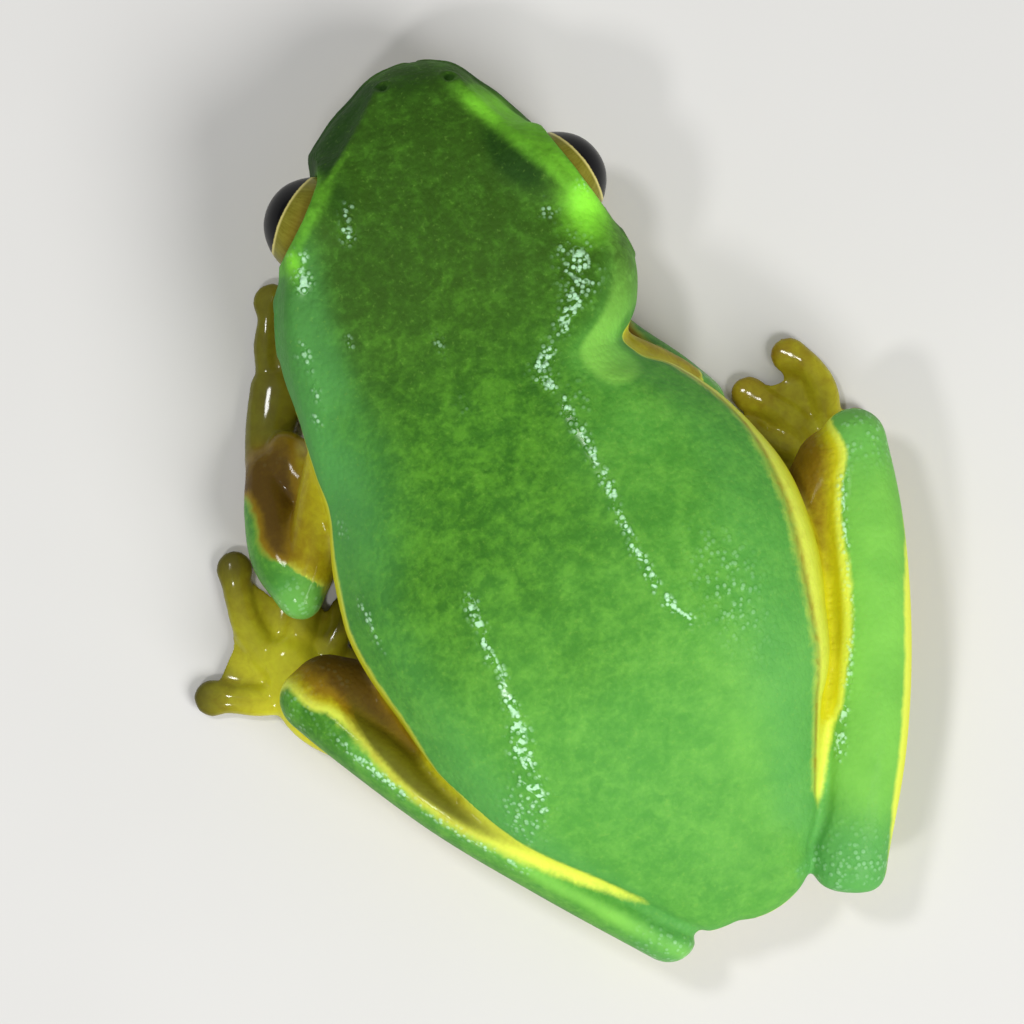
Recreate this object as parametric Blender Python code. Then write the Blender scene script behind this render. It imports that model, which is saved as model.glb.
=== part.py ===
"""Graceful tree frog, life size, crouched with its arms and legs folded against its body.

The frog faces -Y with +Z up and stands on z = 0. The tables below are in millimetres, and are
turned into Blender's metres where a mesh is made. Head and torso are one loft along a curved
spine, parted at the neck. Each limb piece is a tube along its bones, cut clear of what it
presses on. "left" is the frog's own left, at +X.
"""

import math

import bmesh
import bpy
import numpy as np

MM = 0.001

# Driving dimensions, in millimetres
BODY_LENGTH = 42.25
GAP = 0.3
NECK_AT = 13.4
EYE_RADIUS = 2.3
SOCKET_RADIUS = 2.55
LID_RADIUS = 3.05
EYE_PLACE = (6.4, 5.5, 5.7)
EYE_LOOK = (-1.4, 2.6, -0.35)
LID_OPENING = 1.0
NOSTRIL_PLACE = (1.25, 1.5, 5.35)
NOSTRIL_RADIUS = 0.4
SNOUT_HEIGHT = 3.2
SNOUT_ROUNDING = 2.3
RUMP_ROUNDING = 2.1
VENT_HEIGHT = 3.9

# Plan of the spine from the tip of the snout to the vent: x, y
SPINE = [
    (-0.33, -21.4), (0.45, -17.5), (1.15, -14.0), (1.75, -10.5), (1.95, -7.0), (1.75, -3.0),
    (1.35, 1.0), (1.1, 5.0), (0.95, 9.0), (0.8, 13.0), (0.2, 17.0), (-0.8, 20.45),
]

# Half widths to the left and right of the spine: distance from the snout, left, right
WIDTHS = [
    (0.0, 3.3, 3.3), (1.2, 3.55, 3.3), (2.0, 4.2, 3.9), (3.8, 5.7, 5.3), (6.0, 6.6, 6.4),
    (8.0, 7.3, 7.4), (10.0, 8.2, 8.1), (12.0, 8.5, 8.2), (14.0, 8.5, 7.8), (16.0, 8.7, 6.85),
    (17.0, 8.85, 7.1), (18.0, 9.1, 8.1), (20.0, 10.0, 9.2), (22.0, 10.5, 10.0), (25.0, 10.5, 10.7),
    (28.0, 9.95, 10.45), (31.0, 9.45, 9.65), (34.0, 8.35, 8.6), (36.0, 7.0, 7.9),
    (38.0, 5.2, 7.3), (40.0, 3.9, 6.8), (42.25, 3.4, 6.0),
]

# Heights of the back, of the widest line and of the belly: distance, top, widest, bottom
HEIGHTS = [
    (0.0, 5.3, 3.4, 2.3), (2.0, 6.2, 3.6, 2.1), (3.5, 7.0, 3.8, 2.0), (5.0, 7.6, 4.0, 2.0),
    (7.0, 8.2, 4.2, 2.0), (9.0, 8.6, 4.5, 1.9), (12.0, 9.0, 4.9, 1.5), (14.0, 9.4, 5.2, 1.0),
    (17.0, 10.1, 5.6, 0.2), (20.0, 10.8, 5.8, -0.4), (24.0, 11.4, 5.9, -0.6),
    (28.0, 11.4, 5.7, -0.6), (32.0, 10.3, 5.4, -0.6), (36.0, 8.4, 5.0, -0.3),
    (39.0, 6.8, 4.7, 0.6), (42.25, 5.6, 4.2, 2.2),
]

# Squareness of the upper and lower halves of a section: distance, upper, lower
POWERS = [
    (0.0, 2.3, 2.2), (3.0, 2.8, 2.2), (6.0, 2.8, 2.1), (10.0, 2.5, 1.9), (16.0, 2.3, 1.6),
    (24.0, 2.2, 1.4), (36.0, 2.2, 1.4), (40.0, 2.1, 1.8), (42.25, 2.0, 2.0),
]

# Distances at which the head and the torso have a ring of points
HEAD_RINGS = [0.1, 0.4, 0.85, 1.4, 2.1, 2.9, 3.8, 4.8, 5.9, 7.0, 8.1, 9.2, 10.3, 11.4, 12.4]
TORSO_RINGS = [
    14.4, 15.3, 16.2, 17.2, 18.6, 20.2, 22.0, 24.0, 26.0, 28.0, 30.0, 32.0, 34.0, 35.8, 37.4,
    38.8, 39.9, 40.7, 41.3, 41.75, 42.1,
]

# Angles of the points of a ring in degrees, up from the left side: the mouth line has three
LOWER_HALF = [-12.0, -18.0, -24.0, -36.0, -50.0, -66.0, -81.0]
UPPER_HALF = [-4.0, 6.0, 16.0, 26.0, 37.0, 48.0, 60.0, 72.0, 84.0]
MOUTH_ANGLE = -18.0
MOUTH_DEPTH = 0.45
MOUTH_END = 10.6
LIP_HEIGHT = 0.12
LIP_SPREAD = 7.0

# The fold of skin from the eye over the eardrum to the shoulder, with the hollow below it
FOLD_START = 8.1
FOLD_END = 18.5
FOLD_ANGLE = 41.0
FOLD_SLOPE = 2.6
FOLD_HEIGHT = 0.45
FOLD_SPREAD = 7.5
HOLLOW_DEPTH = 0.3

# Swellings: distance, its spread, angle up from the side, its spread, height.
# They are the hip ridges, the hollow between them and the shoulder blades.
SWELLINGS = [
    (29.5, 6.5, 62.0, 12.0, 0.35), (29.5, 6.5, 90.0, 9.0, -0.25), (17.5, 2.6, 56.0, 11.0, 0.3),
]

# Points round a limb tube, and its rings between the domed ends
ARM_SIDES = 12
LEG_SIDES = 16
ARM_RINGS = 11
THIGH_RINGS = 13
SHANK_RINGS = 14
TARSUS_RINGS = 9

# Angles at which the domed ends of a limb tube have a ring
CAP_ANGLES = (35.0, 65.0)

# Each limb tube: x, y, z, half width, half height at the points along its bones
THIGH_LEFT = [
    (2.2, 15.6, 3.7, 2.5, 2.7), (5.3, 12.8, 3.4, 2.7, 2.8), (8.6, 9.2, 3.2, 2.6, 2.8),
    (11.5, 6.1, 3.4, 2.25, 2.4), (13.7, 4.1, 3.8, 1.75, 1.8),
]
THIGH_RIGHT = [
    (-2.4, 17.0, 3.7, 2.5, 2.7), (-4.9, 14.2, 3.3, 2.7, 2.8), (-7.2, 10.0, 3.0, 2.6, 2.7),
    (-9.3, 5.8, 3.2, 2.25, 2.4), (-11.6, 2.8, 3.6, 1.75, 1.8),
]
SHANK_LEFT = [
    (14.6, 4.2, 4.0, 1.55, 1.65), (13.3, 7.1, 4.5, 1.6, 1.95), (10.6, 11.2, 4.8, 1.65, 2.15),
    (7.2, 15.5, 4.6, 1.45, 1.85), (3.25, 20.0, 4.0, 1.3, 1.5),
]
SHANK_RIGHT = [
    (-12.9, 2.1, 4.1, 1.5, 1.55), (-12.15, 4.8, 4.4, 1.8, 1.7), (-10.55, 10.0, 4.4, 1.92, 1.75),
    (-8.3, 15.3, 4.2, 1.93, 1.65), (-5.85, 19.75, 3.9, 1.75, 1.5),
]
TARSUS_LEFT = [
    (3.9, 19.6, 2.0, 1.1, 1.1), (5.5, 17.8, 1.25, 1.15, 1.15), (8.5, 14.5, 1.05, 1.1, 1.1),
    (10.6, 11.6, 1.0, 1.15, 1.05),
]
TARSUS_RIGHT = [
    (-6.1, 19.6, 2.0, 1.1, 1.1), (-7.5, 17.0, 1.25, 1.15, 1.15), (-9.2, 13.2, 1.05, 1.1, 1.1),
    (-10.4, 9.6, 1.0, 1.15, 1.05),
]
UPPER_ARM_LEFT = [
    (7.2, -7.6, 4.3, 1.75, 1.8), (9.2, -5.6, 4.2, 1.65, 1.7), (11.4, -3.0, 3.8, 1.5, 1.6),
    (13.0, -0.9, 3.5, 1.35, 1.4),
]
UPPER_ARM_RIGHT = [
    (-2.4, -7.2, 4.9, 1.5, 1.5), (-3.9, -5.4, 4.7, 1.45, 1.4), (-5.6, -3.8, 4.2, 1.35, 1.3),
    (-6.7, -2.5, 3.5, 1.25, 1.25),
]
FOREARM_LEFT = [
    (13.4, -0.5, 3.5, 1.3, 1.35), (13.6, -2.4, 3.1, 1.3, 1.4), (13.4, -4.4, 2.4, 1.15, 1.2),
    (12.8, -6.4, 1.7, 0.95, 0.95),
]
FOREARM_RIGHT = [
    (-7.0, -2.1, 2.7, 1.25, 1.2), (-6.0, -3.9, 2.0, 1.2, 1.15), (-4.8, -5.8, 1.7, 1.1, 1.05),
    (-4.0, -7.5, 1.5, 0.95, 0.9),
]

# Each hand and foot: its palm or sole tube, then its digits from the innermost outwards,
# each as x, y points from the knuckle to the middle of its disc
FOOT_LEFT = {
    "sole": [
        (10.9, 11.1, 0.95, 1.1, 1.0), (13.2, 7.3, 0.8, 1.5, 0.85), (15.0, 3.7, 0.7, 1.7, 0.75),
    ],
    "digits": [
        [(14.0, 4.6), (13.0, 3.9), (12.1, 3.4)],
        [(14.3, 3.9), (13.2, 2.6), (12.3, 1.7), (11.5, 0.9)],
        [(14.7, 3.4), (14.2, 1.5), (13.4, 0.2), (12.5, -1.1)],
        [(15.3, 3.2), (15.95, 1.3), (16.2, -0.1), (16.1, -1.4), (15.75, -2.9)],
        [(15.3, 3.9), (16.4, 3.6), (17.8, 3.0), (19.1, 2.4)],
    ],
}
FOOT_RIGHT = {
    "sole": [
        (-10.5, 9.1, 0.95, 1.1, 1.0), (-11.3, 5.6, 0.8, 1.5, 0.85), (-11.7, 2.6, 0.7, 1.7, 0.75),
    ],
    "digits": [
        [(-10.9, 3.2), (-9.9, 2.6), (-9.1, 2.3)],
        [(-10.9, 2.5), (-10.1, 1.4), (-9.2, 0.6), (-8.4, -0.1)],
        [(-11.2, 2.2), (-10.9, 0.6), (-10.1, -0.7), (-9.2, -1.8)],
        [(-11.8, 2.0), (-12.4, 0.4), (-12.6, -1.0), (-12.3, -2.0), (-11.55, -2.8)],
        [(-12.2, 2.9), (-13.0, 2.1), (-13.5, 1.3)],
    ],
}
HAND_LEFT = {
    "sole": [
        (12.75, -6.7, 1.05, 0.95, 1.0), (11.8, -8.3, 0.75, 1.2, 0.8), (10.9, -9.7, 0.65, 1.35, 0.7),
    ],
    "digits": [
        [(10.5, -9.0), (9.3, -8.9), (8.2, -9.1)],
        [(10.3, -9.6), (8.9, -10.4), (7.5, -11.3), (6.4, -12.2)],
        [(10.6, -10.1), (9.6, -11.7), (8.5, -13.2), (7.4, -14.3)],
        [(11.2, -10.0), (10.9, -11.3), (10.3, -12.6), (9.6, -13.8)],
    ],
}
HAND_RIGHT = {
    "sole": [
        (-4.0, -7.9, 1.0, 0.95, 0.95), (-4.1, -9.3, 0.75, 1.2, 0.8), (-4.1, -10.6, 0.65, 1.35, 0.7),
    ],
    "digits": [
        [(-3.5, -10.2), (-2.2, -10.7), (-1.0, -11.4)],
        [(-3.6, -10.8), (-2.7, -12.3), (-1.7, -13.8)],
        [(-4.1, -11.1), (-4.0, -13.0), (-3.8, -14.9)],
        [(-4.6, -10.9), (-5.3, -12.3), (-5.9, -13.8)],
    ],
}
DIGIT_HEIGHT = 0.5
DIGIT_RADIUS = 0.58
KNUCKLE_RADIUS = 0.7
WEB_THICKNESS = 0.55
WEB_SCOOP = 0.28
WEB_INSET = 0.05
FOOT_WEB_REACH = 0.82
HAND_WEB_REACH = 0.5
TOE_DISC = 0.82
FINGER_DISC = 0.9
DISC_HEIGHT = 0.55

GREEN = (0.10, 0.36, 0.05, 1.0)
YELLOW = (0.62, 0.42, 0.02, 1.0)
OCHRE = (0.36, 0.20, 0.02, 1.0)
EYE_BLACK = (0.02, 0.012, 0.008, 1.0)


def clear_scene():
    for item in list(bpy.data.objects):
        bpy.data.objects.remove(item)


def skin_material(name, colour, roughness):
    material = bpy.data.materials.new(name)
    material.use_nodes = True
    shader = material.node_tree.nodes["Principled BSDF"]
    shader.inputs["Base Color"].default_value = colour
    shader.inputs["Roughness"].default_value = roughness
    shader.inputs["Metallic"].default_value = 0.0
    material.diffuse_color = colour
    return material


def smooth_rows(knots, rows, wanted):
    """Cubic Hermite curve through rows at the rising numbers knots, read at wanted."""
    knots = np.asarray(knots, float)
    rows = np.asarray(rows, float)
    wanted = np.clip(np.asarray(wanted, float), knots[0], knots[-1])
    slopes = np.gradient(rows, knots, axis=0)
    span = np.clip(np.searchsorted(knots, wanted, side="right") - 1, 0, len(knots) - 2)
    width = (knots[span + 1] - knots[span])[:, None]
    u = (wanted - knots[span])[:, None] / width
    return (
        rows[span] * (2 * u**3 - 3 * u**2 + 1)
        + slopes[span] * width * (u**3 - 2 * u**2 + u)
        + rows[span + 1] * (3 * u**2 - 2 * u**3)
        + slopes[span + 1] * width * (u**3 - u**2)
    )


def column_table(table, wanted):
    table = np.asarray(table, float)
    return smooth_rows(table[:, 0], table[:, 1:], wanted)


def path_lengths(points):
    steps = np.linalg.norm(np.diff(points, axis=0), axis=1)
    return np.concatenate([[0.0], np.cumsum(steps)])


def spine_frame(distance):
    """Plan position and leftward unit vector at distances from the snout."""
    plan = np.asarray(SPINE)
    knots = path_lengths(plan)
    knots *= BODY_LENGTH / knots[-1]
    step = 0.05
    centre = smooth_rows(knots, plan, distance)
    ahead = smooth_rows(knots, plan, distance + step) - smooth_rows(knots, plan, distance - step)
    ahead /= np.linalg.norm(ahead, axis=1)[:, None]
    return centre, np.stack([ahead[:, 1], -ahead[:, 0]], axis=1)


def body_points(distance, lateral, height):
    """Points in space from places beside the spine: one row of lateral places per distance."""
    centre, left = spine_frame(np.asarray(distance, float))
    across = np.asarray(lateral, float)
    x = centre[:, :1] + left[:, :1] * across
    y = centre[:, 1:] + left[:, 1:] * across
    return np.stack([x, y, np.asarray(height, float)], axis=-1)


def dome(share):
    """Quarter-circle growth from 0 at an end to 1 one rounding length away."""
    share = np.clip(share, 0.0, 1.0)
    return np.sqrt(1.0 - (1.0 - share) ** 2)


def ring_angles():
    left = LOWER_HALF[::-1] + UPPER_HALF
    return np.radians(left + [180.0 - a for a in left[::-1]])


def body_surface(distance, grow=0.0):
    """Rings of points across the body at distances from the snout, as (ring, point, xyz)."""
    distance = np.asarray(distance, float)
    angles = ring_angles()
    wide_left, wide_right = column_table(WIDTHS, distance).T
    top, widest, bottom = column_table(HEIGHTS, distance).T
    upper, lower = column_table(POWERS, distance).T
    front = dome(distance / SNOUT_ROUNDING)
    rear = dome((BODY_LENGTH - distance) / RUMP_ROUNDING)
    end_height = np.where(distance < BODY_LENGTH / 2, SNOUT_HEIGHT, VENT_HEIGHT)
    shrink = front * rear
    top, widest, bottom = (end_height + (h - end_height) * shrink for h in (top, widest, bottom))
    cos, sin = np.cos(angles)[None], np.sin(angles)[None]
    power = np.where(sin > 0, upper[:, None], lower[:, None])
    width = np.where(cos > 0, (wide_left * shrink)[:, None], (wide_right * shrink)[:, None]) + grow
    lateral = width * np.sign(cos) * np.abs(cos) ** (2 / power)
    reach = np.where(sin > 0, (top - widest)[:, None], (widest - bottom)[:, None]) + grow
    height = widest[:, None] + reach * np.sign(sin) * np.abs(sin) ** (2 / power)
    return body_points(distance, lateral, height)


def surface_normals(rings):
    """Outward unit normals of rings of points, from the steps along and round the surface."""
    along = np.gradient(rings, axis=0)
    round_it = np.roll(rings, -1, axis=1) - np.roll(rings, 1, axis=1)
    normals = np.cross(round_it, along)
    normals /= np.maximum(np.linalg.norm(normals, axis=-1, keepdims=True), 1e-9)
    outward = rings - rings.mean(axis=1, keepdims=True)
    return normals if (normals * outward).sum() > 0 else -normals


def ridge(value, width):
    return np.exp(-((value / width) ** 2))


def body_relief(distance, angles):
    """How far the surface stands out from the plain loft: folds, swellings and the mouth line."""
    along = np.asarray(distance, float)[:, None]
    side = np.degrees(np.arcsin(np.sin(angles)))[None]
    fold_line = FOLD_ANGLE - FOLD_SLOPE * (along - FOLD_START)
    fold_span = np.clip(along - FOLD_START + 0.5, 0, 1) * np.clip((FOLD_END - along) / 3.0, 0, 1)
    fold = FOLD_HEIGHT * ridge(side - fold_line, FOLD_SPREAD)
    hollow = HOLLOW_DEPTH * ridge(side - fold_line + 2 * FOLD_SPREAD, FOLD_SPREAD)
    relief = (fold - hollow) * fold_span
    for place, reach, angle, spread, height in SWELLINGS:
        relief += height * ridge(along - place, reach) * ridge(side - angle, spread)
    lips = np.clip((MOUTH_END - along) / 1.5, 0, 1)
    relief -= MOUTH_DEPTH * lips * (np.abs(side - MOUTH_ANGLE) < 1.0)
    relief += LIP_HEIGHT * lips * ridge(side - MOUTH_ANGLE - LIP_SPREAD, LIP_SPREAD)
    return relief


def rounded_tube(path, sides, ring_count, grow=0.0):
    """Rings along a smooth path whose sections are ellipses, with a domed end at each side."""
    path = np.asarray(path, float)
    knots = path_lengths(path[:, :3])
    rows = smooth_rows(knots, path, np.linspace(0.0, knots[-1], ring_count))
    points, sizes = rows[:, :3], rows[:, 3:] + grow
    ahead = np.gradient(points, axis=0)
    ahead /= np.linalg.norm(ahead, axis=1)[:, None]
    across = np.cross(ahead, (0.0, 0.0, 1.0))
    across /= np.linalg.norm(across, axis=1)[:, None]
    up = np.cross(across, ahead)
    angles = np.linspace(0, 2 * math.pi, sides, endpoint=False) + math.pi / sides
    cos, sin = np.cos(angles)[:, None], np.sin(angles)[:, None]

    def ring(index, shrink, shift):
        reach = sizes[index].mean()
        centre = points[index] + ahead[index] * shift * reach
        wide, high = sizes[index] * shrink
        return centre + across[index] * cos * wide + up[index] * sin * high

    last = ring_count - 1
    caps = np.radians(CAP_ANGLES)
    rings = [ring(0, math.cos(a), -math.sin(a)) for a in caps[::-1]]
    rings += [ring(i, 1.0, 0.0) for i in range(ring_count)]
    rings += [ring(last, math.cos(a), math.sin(a)) for a in caps]
    ends = [points[0] - ahead[0] * sizes[0].mean(), points[last] + ahead[last] * sizes[last].mean()]
    return np.array(rings), ends


def mesh_object(name, points, faces):
    mesh = bpy.data.meshes.new(name)
    mesh.from_pydata((np.asarray(points) * MM).tolist(), [], faces)
    work = bmesh.new()
    work.from_mesh(mesh)
    bmesh.ops.recalc_face_normals(work, faces=work.faces)
    work.to_mesh(mesh)
    work.free()
    made = bpy.data.objects.new(name, mesh)
    bpy.context.scene.collection.objects.link(made)
    return made


def closed_loft(name, rings, ends):
    """A closed mesh over rings of points. An end is a pole point, or None for a flat face."""
    count, sides = rings.shape[:2]
    points = rings.reshape(-1, 3).tolist()
    faces = []
    for i in range(count - 1):
        for j in range(sides):
            k = (j + 1) % sides
            faces.append((i * sides + j, i * sides + k, (i + 1) * sides + k, (i + 1) * sides + j))
    for end, first in zip(ends, (0, (count - 1) * sides)):
        ring = list(range(first, first + sides))
        if end is None:
            faces.append(ring)
            continue
        points.append(list(end))
        pole = len(points) - 1
        faces += [(ring[j], ring[(j + 1) % sides], pole) for j in range(sides)]
    return mesh_object(name, points, faces)


def tube(name, path, sides=ARM_SIDES, ring_count=ARM_RINGS, grow=0.0):
    return closed_loft(name, *rounded_tube(path, sides, ring_count, grow))


def body_loft(name, distance, ends, grow=0.0, detailed=True):
    rings = body_surface(distance, grow)
    if detailed:
        relief = body_relief(distance, ring_angles())
        rings = rings + surface_normals(rings) * relief[..., None]
    return closed_loft(name, rings, ends)


def snout_pole(grow=0.0):
    centre, left = spine_frame(np.array([0.0]))
    forward = np.array([-left[0, 1], left[0, 0], 0.0])
    forward *= -np.sign(forward[1])
    return np.array([*centre[0], SNOUT_HEIGHT]) + forward * grow


def rump_pole(grow=0.0):
    centre, _ = spine_frame(np.array([BODY_LENGTH]))
    return np.array([centre[0, 0], centre[0, 1] + grow, VENT_HEIGHT])


def ball(name, centre, radius, axis, cut_at=None, sides=20, rows=10):
    """A sphere turned about axis, or what lies behind a flat cut at cut_at along it."""
    axis = np.asarray(axis, float)
    axis /= np.linalg.norm(axis)
    across = np.cross(axis, (0.0, 0.0, 1.0))
    across /= np.linalg.norm(across)
    up = np.cross(across, axis)
    if cut_at is None:
        polar = np.linspace(math.pi, 0.0, rows + 2)[1:-1]
    else:
        polar = np.linspace(math.pi, math.acos(cut_at / radius), rows + 1)[1:]
    turns = np.linspace(0, 2 * math.pi, sides, endpoint=False)
    circle = np.cos(turns)[:, None] * across + np.sin(turns)[:, None] * up
    rings = np.array([centre + radius * (math.cos(p) * axis + math.sin(p) * circle) for p in polar])
    front = None if cut_at is not None else centre + radius * axis
    return closed_loft(name, rings, [centre - radius * axis, front])


def apply_modifiers(target):
    graph = bpy.context.evaluated_depsgraph_get()
    mesh = bpy.data.meshes.new_from_object(target.evaluated_get(graph))
    target.modifiers.clear()
    target.data = mesh


def keep_largest(target):
    """Keeps the closed surface with the most volume, and drops loose scraps."""
    work = bmesh.new()
    work.from_mesh(target.data)
    bmesh.ops.remove_doubles(work, verts=work.verts, dist=1e-7)
    unseen, islands = set(work.faces), []
    while unseen:
        front = [unseen.pop()]
        island = set(front)
        while front:
            face = front.pop()
            near = {f for edge in face.edges for f in edge.link_faces} & unseen
            unseen -= near
            island |= near
            front.extend(near)
        islands.append(island)
    islands.sort(key=lambda island: sum(face.calc_area() for face in island))
    scraps = [face for island in islands[:-1] for face in island]
    bmesh.ops.delete(work, geom=scraps, context="FACES")
    loose = [v for v in work.verts if not v.link_faces]
    bmesh.ops.delete(work, geom=loose, context="VERTS")
    work.to_mesh(target.data)
    work.free()


def combine(target, others, operation, keep_others=False, solver="EXACT"):
    """Joins others to target, or cuts them away from it, by one Boolean on a collection."""
    group = bpy.data.collections.new(target.name + "_" + operation.lower())
    bpy.context.scene.collection.children.link(group)
    for other in others:
        group.objects.link(other)
    modifier = target.modifiers.new(operation.lower(), "BOOLEAN")
    modifier.operation = operation
    modifier.solver = solver
    modifier.operand_type = "COLLECTION"
    modifier.collection = group
    apply_modifiers(target)
    for other in others:
        group.objects.unlink(other)
        if not keep_others:
            bpy.data.objects.remove(other)
    bpy.data.collections.remove(group)
    keep_largest(target)
    return target


def floor_cutter():
    corners = [(x, y, z) for x in (-40, 40) for y in (-40, 40) for z in (-10, 0)]
    faces = [(0, 1, 3, 2), (4, 6, 7, 5), (0, 4, 5, 1), (2, 3, 7, 6), (0, 2, 6, 4), (1, 5, 7, 3)]
    return mesh_object("floor_cutter", corners, faces)


def digit(name, points, disc_radius):
    """A finger or toe: a slim round tube that swells into a flat disc at its tip."""
    plan = np.asarray(points, float)
    knots = path_lengths(plan)
    end = knots[-1]
    neck = max(end - 1.5 * disc_radius, 0.45 * end)
    disc = max(end - 0.5 * disc_radius, neck + 0.3 * (end - neck))
    spots = smooth_rows(knots, plan, [0.0, 0.5 * neck, neck, disc, end])
    wide = [KNUCKLE_RADIUS, DIGIT_RADIUS, DIGIT_RADIUS, disc_radius, disc_radius]
    high = [DIGIT_RADIUS, DIGIT_RADIUS, DIGIT_RADIUS, DISC_HEIGHT, DISC_HEIGHT]
    rows = [(x, y, DIGIT_HEIGHT, w, h) for (x, y), w, h in zip(spots, wide, high)]
    return tube(name, rows, sides=8, ring_count=8)


def web(name, inner, outer, reach):
    """A sheet between two digits, with a scooped free edge, triangled alike on both faces."""
    steps = np.linspace(0.0, 1.0, 5)
    edges = []
    for points in (inner, outer):
        plan = np.asarray(points, float)
        knots = path_lengths(plan)
        edges.append((knots, plan))
    rows = []
    for across in np.linspace(WEB_INSET, 1.0 - WEB_INSET, 5):
        scoop = 1.0 - WEB_SCOOP * math.sin(math.pi * across)
        spots = [smooth_rows(k, p, steps * k[-1] * reach * scoop) for k, p in edges]
        rows.append(spots[0] * (1 - across) + spots[1] * across)
    plan = np.array(rows)
    count, sides = plan.shape[:2]
    half = WEB_THICKNESS / 2
    flat = plan.reshape(-1, 2)
    upper = np.column_stack([flat, np.full(len(flat), DIGIT_HEIGHT + half)])
    lower = np.column_stack([flat, np.full(len(flat), DIGIT_HEIGHT - half)])
    size, faces = len(flat), []
    for i in range(count - 1):
        for j in range(sides - 1):
            a, b = i * sides + j, (i + 1) * sides + j
            for corners in ((a, b, b + 1), (a, b + 1, a + 1)):
                faces.append(corners)
                faces.append(tuple(c + size for c in corners[::-1]))
    border = [i * sides for i in range(count)]
    border += [(count - 1) * sides + j for j in range(1, sides)]
    border += [i * sides + sides - 1 for i in range(count - 2, -1, -1)]
    border += list(range(sides - 2, 0, -1))
    for a, b in zip(border, border[1:] + border[:1]):
        faces.append((a, b, b + size, a + size))
    return mesh_object(name, np.concatenate([upper, lower]), faces)


def hand_or_foot(name, plan, disc_radius, reach, floor):
    """Palm or sole, digits and the webs between them, joined and flat underneath."""
    made = tube(name, plan["sole"], sides=12, ring_count=7)
    pieces = []
    for index, points in enumerate(plan["digits"]):
        pieces.append(digit(f"{name}_digit_{index}", points, disc_radius))
    for index, pair in enumerate(zip(plan["digits"], plan["digits"][1:])):
        pieces.append(web(f"{name}_web_{index}", *pair, reach))
    combine(made, pieces, "UNION")
    combine(made, [floor], "DIFFERENCE", keep_others=True)
    return made


def cut_clear(target, cutters):
    return combine(target, cutters, "DIFFERENCE")


def head_point(distance, lateral, height):
    """One point in space from its place beside the spine."""
    return body_points([distance], [[lateral]], [[height]])[0, 0]


def eye_axis(side):
    """Where an eye looks: outwards, forwards and a little down, in the frame of the head."""
    along, out, height = EYE_PLACE
    start = head_point(along, side * out, height)
    end = head_point(along + EYE_LOOK[0], side * (out + EYE_LOOK[1]), height + EYE_LOOK[2])
    return start, end - start


def make_head():
    """Upper and lower jaw, lids, nostrils and the mouth line, down to the neck."""
    rings = np.array(HEAD_RINGS + [NECK_AT - GAP / 2])
    head = body_loft("head", rings, [snout_pole(), None])
    lids, pits = [], []
    for side, label in ((1, "left"), (-1, "right")):
        centre, axis = eye_axis(side)
        lids.append(ball("lid_" + label, centre, LID_RADIUS, axis, cut_at=LID_OPENING))
        pits.append(ball("socket_" + label, centre, SOCKET_RADIUS, axis))
        along, out, height = NOSTRIL_PLACE
        nostril = head_point(along, side * out, height)
        pits.append(ball("nostril_" + label, nostril, NOSTRIL_RADIUS, axis, sides=8, rows=4))
    combine(head, lids, "UNION")
    return cut_clear(head, pits)


def make_eye(side, label):
    centre, axis = eye_axis(side)
    return ball("eye_" + label, centre, EYE_RADIUS, axis, sides=20, rows=11)


def make_torso(floor):
    rings = np.array([NECK_AT + GAP / 2] + TORSO_RINGS)
    torso = body_loft("torso", rings, [None, rump_pole()])
    return combine(torso, [floor], "DIFFERENCE", keep_others=True)


def grown_body():
    rings = np.array(HEAD_RINGS + [NECK_AT] + TORSO_RINGS)
    ends = [snout_pole(GAP), rump_pole(GAP)]
    return body_loft("grown_body", rings, ends, grow=GAP, detailed=False)


def make_arm(label, upper_arm, forearm, hand, floor):
    """Upper arm, forearm and hand, each cut clear of the body and of the piece before it."""
    upper = tube("upper_arm_" + label, upper_arm)
    cut_clear(upper, [grown_body()])
    lower = tube("forearm_" + label, forearm)
    cut_clear(lower, [grown_body(), tube("clear_upper_arm", upper_arm, grow=GAP)])
    palm = hand_or_foot("hand_" + label, hand, FINGER_DISC, HAND_WEB_REACH, floor)
    cut_clear(palm, [grown_body(), tube("clear_forearm", forearm, grow=GAP)])
    return [upper, lower, palm]


def make_leg(label, thigh, shank, tarsus, foot, forearm, floor):
    """Thigh, shank, tarsus and foot, each cut clear of the body and of the pieces before it."""

    def clear_of(*names):
        plans = {
            "thigh": (thigh, LEG_SIDES, THIGH_RINGS),
            "shank": (shank, LEG_SIDES, SHANK_RINGS),
            "tarsus": (tarsus, ARM_SIDES, TARSUS_RINGS),
            "forearm": (forearm, ARM_SIDES, ARM_RINGS),
        }
        return [grown_body()] + [tube("clear_" + name, *plans[name], grow=GAP) for name in names]

    upper = tube("thigh_" + label, thigh, LEG_SIDES, THIGH_RINGS)
    cut_clear(upper, clear_of())
    shin = tube("shank_" + label, shank, LEG_SIDES, SHANK_RINGS)
    cut_clear(shin, clear_of("thigh"))
    ankle = tube("tarsus_" + label, tarsus, ARM_SIDES, TARSUS_RINGS)
    combine(ankle, [floor], "DIFFERENCE", keep_others=True)
    cut_clear(ankle, clear_of("thigh", "shank"))
    sole = hand_or_foot("foot_" + label, foot, TOE_DISC, FOOT_WEB_REACH, floor)
    cut_clear(sole, clear_of("thigh", "shank", "tarsus", "forearm"))
    return [upper, shin, ankle, sole]


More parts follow.
